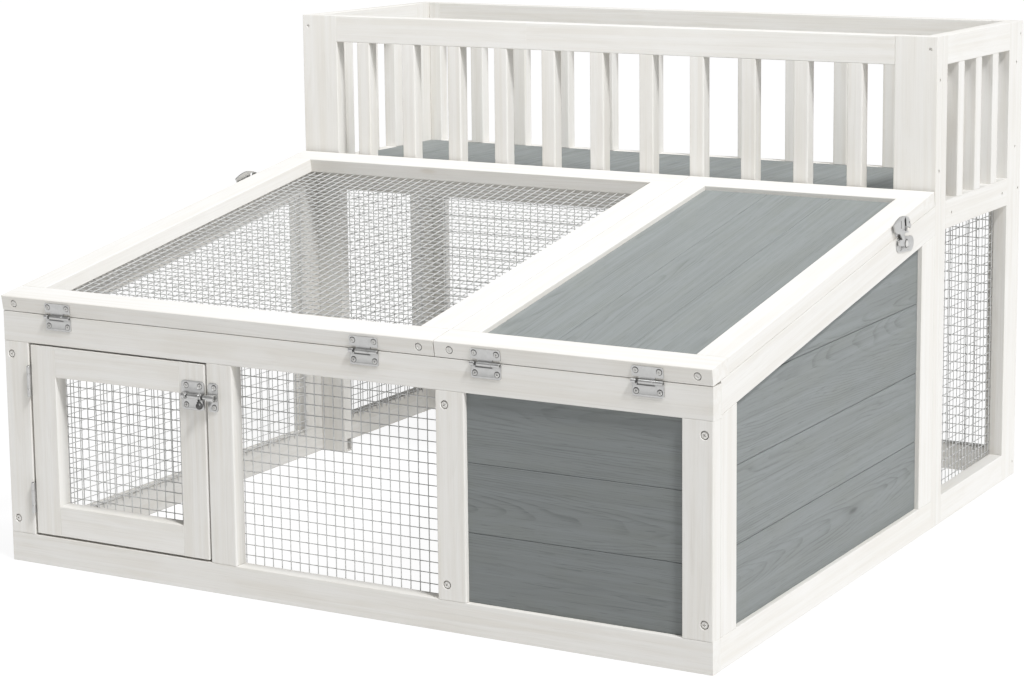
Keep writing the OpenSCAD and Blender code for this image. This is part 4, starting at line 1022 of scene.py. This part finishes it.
rod_part(0, SHADE_NECKS[0][0], 0.4, 0.3)
rod_part(SHADE_NECKS[0][1], SHADE_NECKS[1][0], 0.3, 0.3)
rod_part(SHADE_NECKS[1][1], L, 0.3, 0.9)
# blackened necks: painted shade where the rod lies in the shadow of the straps
for a, b in SHADE_NECKS:
    p.add_bm(lathe([(0, a - 0.1), (ROD - 0.7, a - 0.1), (ROD - 0.7, b + 0.1), (0, b + 0.1)], 24), ROD_M, tone=-3)
p.done()
p = Piece("bolt_knob", "bolt_knob", ZINC, True)
ring(p, along("x", (KNX - 2.25, RODY, BZ)), 3.9, ROD + 0.05, 4.5, 0.4)
K = trans(KNX, RODY, BZ) @ Matrix.Rotation(-math.radians(16.55), 4, "X") @ Matrix.Rotation(-math.radians(20), 4, "Y")
KL = 10.5 / math.cos(math.radians(20))
prof = [(0, -KL - 4.2)] + [(4.2 * math.sin(math.radians(a)), -KL - 4.2 * math.cos(math.radians(a))) for a in range(12, 163, 10)]
prof += [(2.2, -KL + 3.8), (2.5, -KL + 4.4), (2.5, -6.3), (2.2, -6.0), (1.2, -6.0), (1.2, -3.85), (0, -3.85)]
p.add_bm(lathe(prof, 32), K, tone=-3)
p.done()
p = Piece("bolt_keeper", R, ZINC, True)
plate(p, rrect(POST0 + 2.6, POST0 + 16.6, BZ - 17.3, BZ + 17.3, 4), 0, 1.2, FACE, bevel=0.3, dishes=[(KSX, BZ + s) for s in (-11.6, 11.6)])
strap(p, POST0 + 5.2, 10.2, 4.3, ROD + 0.6)
p.done()

# ------------------------------------------------------------------ side latches
PLATE_SCR = ((-9.5, -2.5), (13.5, -8.5))
KEEPER_SCR = ((-17, 24), (12, 24))


def turned(pts, deg, cx, cy):
    c, q = math.cos(math.radians(deg)), math.sin(math.radians(deg))
    return [(cx + x * c - y * q, cy + x * q + y * c) for x, y in pts]


def pill(length, r, deg, cx, cy, n=14):
    a = length / 2 - r
    return turned(arc(a, 0, r, -90, 90, n) + arc(-a, 0, r, 90, 270, n), deg, cx, cy)


p = Piece("latch_plates", R, ZINC, True)
for side in (-1, 1):
    M = latch(side)
    plate(p, pill(57, 9.5, -14, 5, -2.5), 0, 1.2, M, bevel=0.35, dishes=PLATE_SCR)
    p.add_bm(lathe([(0, 1.1), (5, 1.1), (5, 2.6), (2.6, 2.6), (2.6, 5.2), (4.2, 5.2), (4.2, 5.6), (3.4, 6.1), (1.8, 6.35), (0, 6.4)], 28), M, tone=3.1)
    for x, y in PLATE_SCR:
        csk(p, M @ trans(x, y, 0.75), turn=jitter(), shift=(0, -0.35, -0.35))
p.done()

# outline of the hook, clockwise from the front end of its leaf-shaped head
HEAD = [(-36, 33.9), (-31.8, 35.3), (-27.6, 36.3), (-23.4, 37.1), (-19.3, 37.6), (-15.5, 37.9), (-11.8, 37.9), (-7.3, 37.4), (-2.9, 36.3), (1.3, 35.1),
        (5.1, 33.5), (8.6, 31.9), (11.4, 30.2), (13.6, 28.1), (15.2, 25.8), (16, 23.6), (16.3, 21.6), (17.6, 19.2), (18, 17.4), (17.2, 15.9), (15.4, 15)]
MOUTH = arc(0, 0, 21.2, 45, 80.5, 8) + arc(0.3, 30.1, 3.2, 0, 180, 12) + arc(0.3, 18.5, 2.7, 164.4, 268, 9) + arc(0, 0, 15.8, 88.5, 49.55, 7)
NECK = [(9, 11.3), (4.6, 12.9), (-1, 13.7), (-4.4, 13), (-4.4, 11), (-2.6, 5.97)]
LEVER = arc(0, 0, 6.2, 109.9, 38.1, 8) + arc(9.42, -1.634, 4, 74, -106, 12) + arc(0, 0, 6.2, -44.66, -167.3, 12) + arc(-19.42, 6.634, 4, -106, -286, 12)
REST = [(-11.15, 8.42), (-14.2, 12.9), (-17.2, 16.6), (-18.2, 18.6), (-20.6, 18.9), (-24, 19.2), (-27, 20.4), (-29.6, 22.1), (-31.8, 24), (-33.1, 26), (-33.6, 28.4), (-34, 31)]


def hook(p, side):
    """lever on the pivot, neck, and a leaf-shaped head whose mouth closes over the stud"""
    plate(p, (HEAD + MOUTH + NECK + LEVER + REST)[::-1], 2.9, 4.9, latch(side),
          holes=[circle(0, 0, 2.65, 28), rrect(-14.1, -11.9, 22.4, 33.2, 0.8, 3), circle(13.2, 23.4, 1.5, 14)], bevel=0.3)
    p.add_bm(lathe([(2.75, 4.8), (5.5, 4.8), (5.7, 4.95), (5.5, 5.1), (2.75, 5.1)], 28), latch(side), tone=-3)
    # painted shade: a blackened strip lines the wall of the mouth
    plate(p, [(2.8, 21.9), (3.6, 21.7), (3.6, 30.0), (2.8, 30.0)], 3.1, 4.7, latch(side), bevel=0.1, tone=-3)


p = Piece("left_latch_hook", "left_latch_hook", ZINC, True); hook(p, -1); p.done()
p = Piece("right_latch_hook", "right_latch_hook", ZINC, True); hook(p, 1); p.done()
for side, node, body in ((-1, "left_latch_keeper", "mesh_lid"), (1, "right_latch_keeper", "shelter_lid")):
    p = Piece(node, body, ZINC, True)
    M = latch(side)
    plate(p, rrect(-24, 18, 14.8, 29.8, 3), 0, 1.2, M, bevel=0.3, dishes=KEEPER_SCR)
    p.add_bm(lathe([(0, 1.1), (2.3, 1.1), (2.3, 5.2), (1.9, 5.6), (0, 5.6)], 24), M @ trans(0.3, 18.5, 0), tone=-2.6)
    # painted shade: a blackened patch on the keeper under the mouth of the hook
    plate(p, rrect(-4.2, 6.5, 17.6, 29.3, 2.0), 1.0, 1.35, M, bevel=0.1, tone=-3)
    for x, y in KEEPER_SCR:
        csk(p, M @ trans(x, y, 0.75), turn=jitter(), shift=(0, -0.35, -0.35))
    p.done()


# ------------------------------------------------------------------ screws
def front_screw(p, x, y, z, r, h, rs, length, M=None):
    """painted pan head on a blackened ring that fills the bottom of its counterbore, as painted shade around the head
    """
    m = along("-y", (x - 0.3, y, z - 0.15))
    screw(p, m if M is None else M @ m, r, h, rs, length, jitter(), tone=3.7)
    m = along("-y", (x, y, z))
    p.add_bm(lathe([(2.4, -0.05), (r + 0.55, -0.05), (r + 0.65, 0.25), (r - 0.5, 0.25), (r - 0.9, 0.05), (2.4, 0.05)], 28), m if M is None else M @ m, tone=-3)


for node, body, lx, hx in (("mesh_lid_screws", "mesh_lid", LSX[:2], HX_MESH), ("shelter_lid_screws", "shelter_lid", LSX[2:], HX_SHEL)):
    p = Piece(node, body, ZINC, True)
    for x in lx:
        front_screw(p, x, 1.4, T / 2, 3.9, 1.1, 2, 52, LID)
    for x in hx:
        for s in (-14.1, 14.1):
            csk(p, LID @ along("-y", (x + s, -0.75, 10.3)), turn=jitter())
    p.done()
p = Piece("door_screws", "door", ZINC, True)
for x in BSX:
    for s in (-11.6, 11.6):
        csk(p, along("-y", (x, -0.75, BZ + s)), turn=jitter())
for z in DHZ:
    for s in (-12, 12):
        pin(p, along("x", (DOOR0 - 0.9, 9, z + s)), 1.2, 11, 16)
p.done()
p = Piece("frame_screws", R, ZINC, True)
for x in SCREW_X:
    for z in SCREW_Z:
        front_screw(p, x, 3.0, z, 4.3, 2.5, 2, 48)
for x in HX_MESH + HX_SHEL:
    for s in (-14.1, 14.1):
        csk(p, along("-y", (x + s, -0.75, HXZ - 10.7)), turn=jitter())
for s in (-11.6, 11.6):
    csk(p, along("-y", (KSX, -0.75, BZ + s)), turn=jitter())
for z in DHZ:
    for s in (-12, 12):
        pin(p, along("x", (RW - 10.5, 9, z + s)), 1.2, 11.4, 16)
for side in (-1, 1):
    for i, (y, z) in enumerate(HOLES):
        n = 15 if i in (2, 3) else 28
        m = along("-x", (4.3, y, z)) if side < 0 else along("x", (W - 4.3, y, z))
        screw(p, m, 2.2, 0.9, 1.9, n - 3, jitter(), tone=-3)
for x in (9.6, W - 9.6):
    screw(p, along("-y", (x, FD + 1.7, 617.0)), 2.2, 0.9, 1.9, 28.6, jitter(), tone=3.7)
p.done()


# ------------------------------------------------------------------ floor, light, camera
def setting():
    m = bpy.data.materials.new("pale_floor")
    n = Nodes(m)
    co = n.new("ShaderNodeTexCoord")
    f = n.noise(n.scaled(co.outputs["Object"], (0.8, 0.8, 0.8)), 1, 3, 0.5)
    n.link(n.mix(n.rng(f, 0.3, 0.7, 0.0, 1.0), (0.145, 0.145, 0.145), (0.155, 0.155, 0.155)), n.bsdf.inputs["Base Color"])
    n.bsdf.inputs["Roughness"].default_value = 0.9
    n.bsdf.inputs["Specular IOR Level"].default_value = 0.05
    # the floor is a lit panel, as under a product shot
    n.bsdf.inputs["Emission Color"].default_value = (1.0, 1.0, 1.0, 1)
    n.bsdf.inputs["Emission Strength"].default_value = 1.0
    bm = bmesh.new()
    bmesh.ops.create_circle(bm, cap_ends=True, segments=96, radius=40)
    me = bpy.data.meshes.new("floor")
    bm.to_mesh(me)
    bm.free()
    me.materials.append(m)
    ob = bpy.data.objects.new("floor", me)
    bpy.context.scene.collection.objects.link(ob)


setting()
scene = bpy.context.scene
scene.view_settings.view_transform = "Standard"
scene.view_settings.look = "None"
scene.view_settings.exposure = 0.0
view = scene.view_settings
view.use_curve_mapping = True
curves = view.curve_mapping
curves.white_level = (1.15, 1.15, 1.15)
c = curves.curves[3]
for x, y in ((0.261, 0.30), (0.522, 0.60), (0.696, 0.775), (0.826, 0.885), (0.913, 0.95)):
    c.points.new(x, y)
curves.update()

# soft sky that is brightest at the horizon, like a studio sweep
world = bpy.data.worlds.new("studio")
world.use_nodes = True
wt = world.node_tree
bg = wt.nodes["Background"]
wco = wt.nodes.new("ShaderNodeTexCoord")
wsep = wt.nodes.new("ShaderNodeSeparateXYZ")
wt.links.new(wco.outputs["Generated"], wsep.inputs[0])
wr = wt.nodes.new("ShaderNodeMapRange")
wr.interpolation_type = "SMOOTHSTEP"
for i, v in enumerate((0.04, 0.14, 1.12, 0.17)):
    wr.inputs[i + 1].default_value = v
wt.links.new(wsep.outputs["Z"], wr.inputs[0])
wt.links.new(wr.outputs[0], bg.inputs["Strength"])
bg.inputs["Color"].default_value = (1.0, 1.0, 1.0, 1)
scene.world = world


def aim(ob, direction):
    ob.rotation_euler = Vector(direction).to_track_quat("-Z", "Y").to_euler()
    scene.collection.objects.link(ob)


def sun(name, towards, strength, angle, color=(1, 1, 1)):
    li = bpy.data.lights.new(name, "SUN")
    li.energy, li.angle, li.color = strength, math.radians(angle), color
    ob = bpy.data.objects.new(name, li)
    ob.location = Vector(towards).normalized() * 6
    aim(ob, -Vector(towards))


def area(name, loc, target, size, power, color=(1, 1, 1)):
    li = bpy.data.lights.new(name, "AREA")
    li.shape, li.size, li.energy, li.color = "SQUARE", size, power, color
    ob = bpy.data.objects.new(name, li)
    ob.location = loc
    aim(ob, Vector(target) - Vector(loc))


sun("key", (0.52, -0.22, 0.80), 3.0, 9)
sun("top", (0.0, 0.0, 1.0), 0.2, 60)
sun("side", (0.97, -0.03, 0.24), 0.85, 40)
area("fence_fill", (0.1, -0.5, 1.95), (0.0, 0.17, 0.5), 0.7, 22)

CAM = [2152.7701, -2382.13757, 911.49035, 0.48067, 0.15384, 0.00289, 2493.84504, 640.0, 228.0]
cx, cy, cz, yaw, pitch, roll, foc, px, py = CAM
cam_data = bpy.data.cameras.new("camera")
cam = bpy.data.objects.new("camera", cam_data)
scene.collection.objects.link(cam)
fwd = Vector((-math.sin(yaw) * math.cos(pitch), math.cos(yaw) * math.cos(pitch), -math.sin(pitch)))
right = Vector((math.cos(yaw), math.sin(yaw), 0))
down = fwd.cross(right)
r2 = right * math.cos(roll) + down * math.sin(roll)
d2 = right * -math.sin(roll) + down * math.cos(roll)
loc = Vector((cx * 0.96 - W / 2, cy * 0.96 - YM, cz * 0.96)) * 0.001
cam.matrix_world = Matrix(((r2.x, -d2.x, -fwd.x, loc.x), (r2.y, -d2.y, -fwd.y, loc.y), (r2.z, -d2.z, -fwd.z, loc.z), (0, 0, 0, 1)))
cam_data.sensor_fit = "HORIZONTAL"
cam_data.sensor_width = 36.0
cam_data.lens = foc * 36.0 / 1024.0
cam_data.shift_x = (512.0 - px) / 1024.0
cam_data.shift_y = (py - 338.0) / 1024.0
cam_data.clip_start, cam_data.clip_end = 0.05, 200
cam_data.dof.use_dof = False
scene.camera = cam
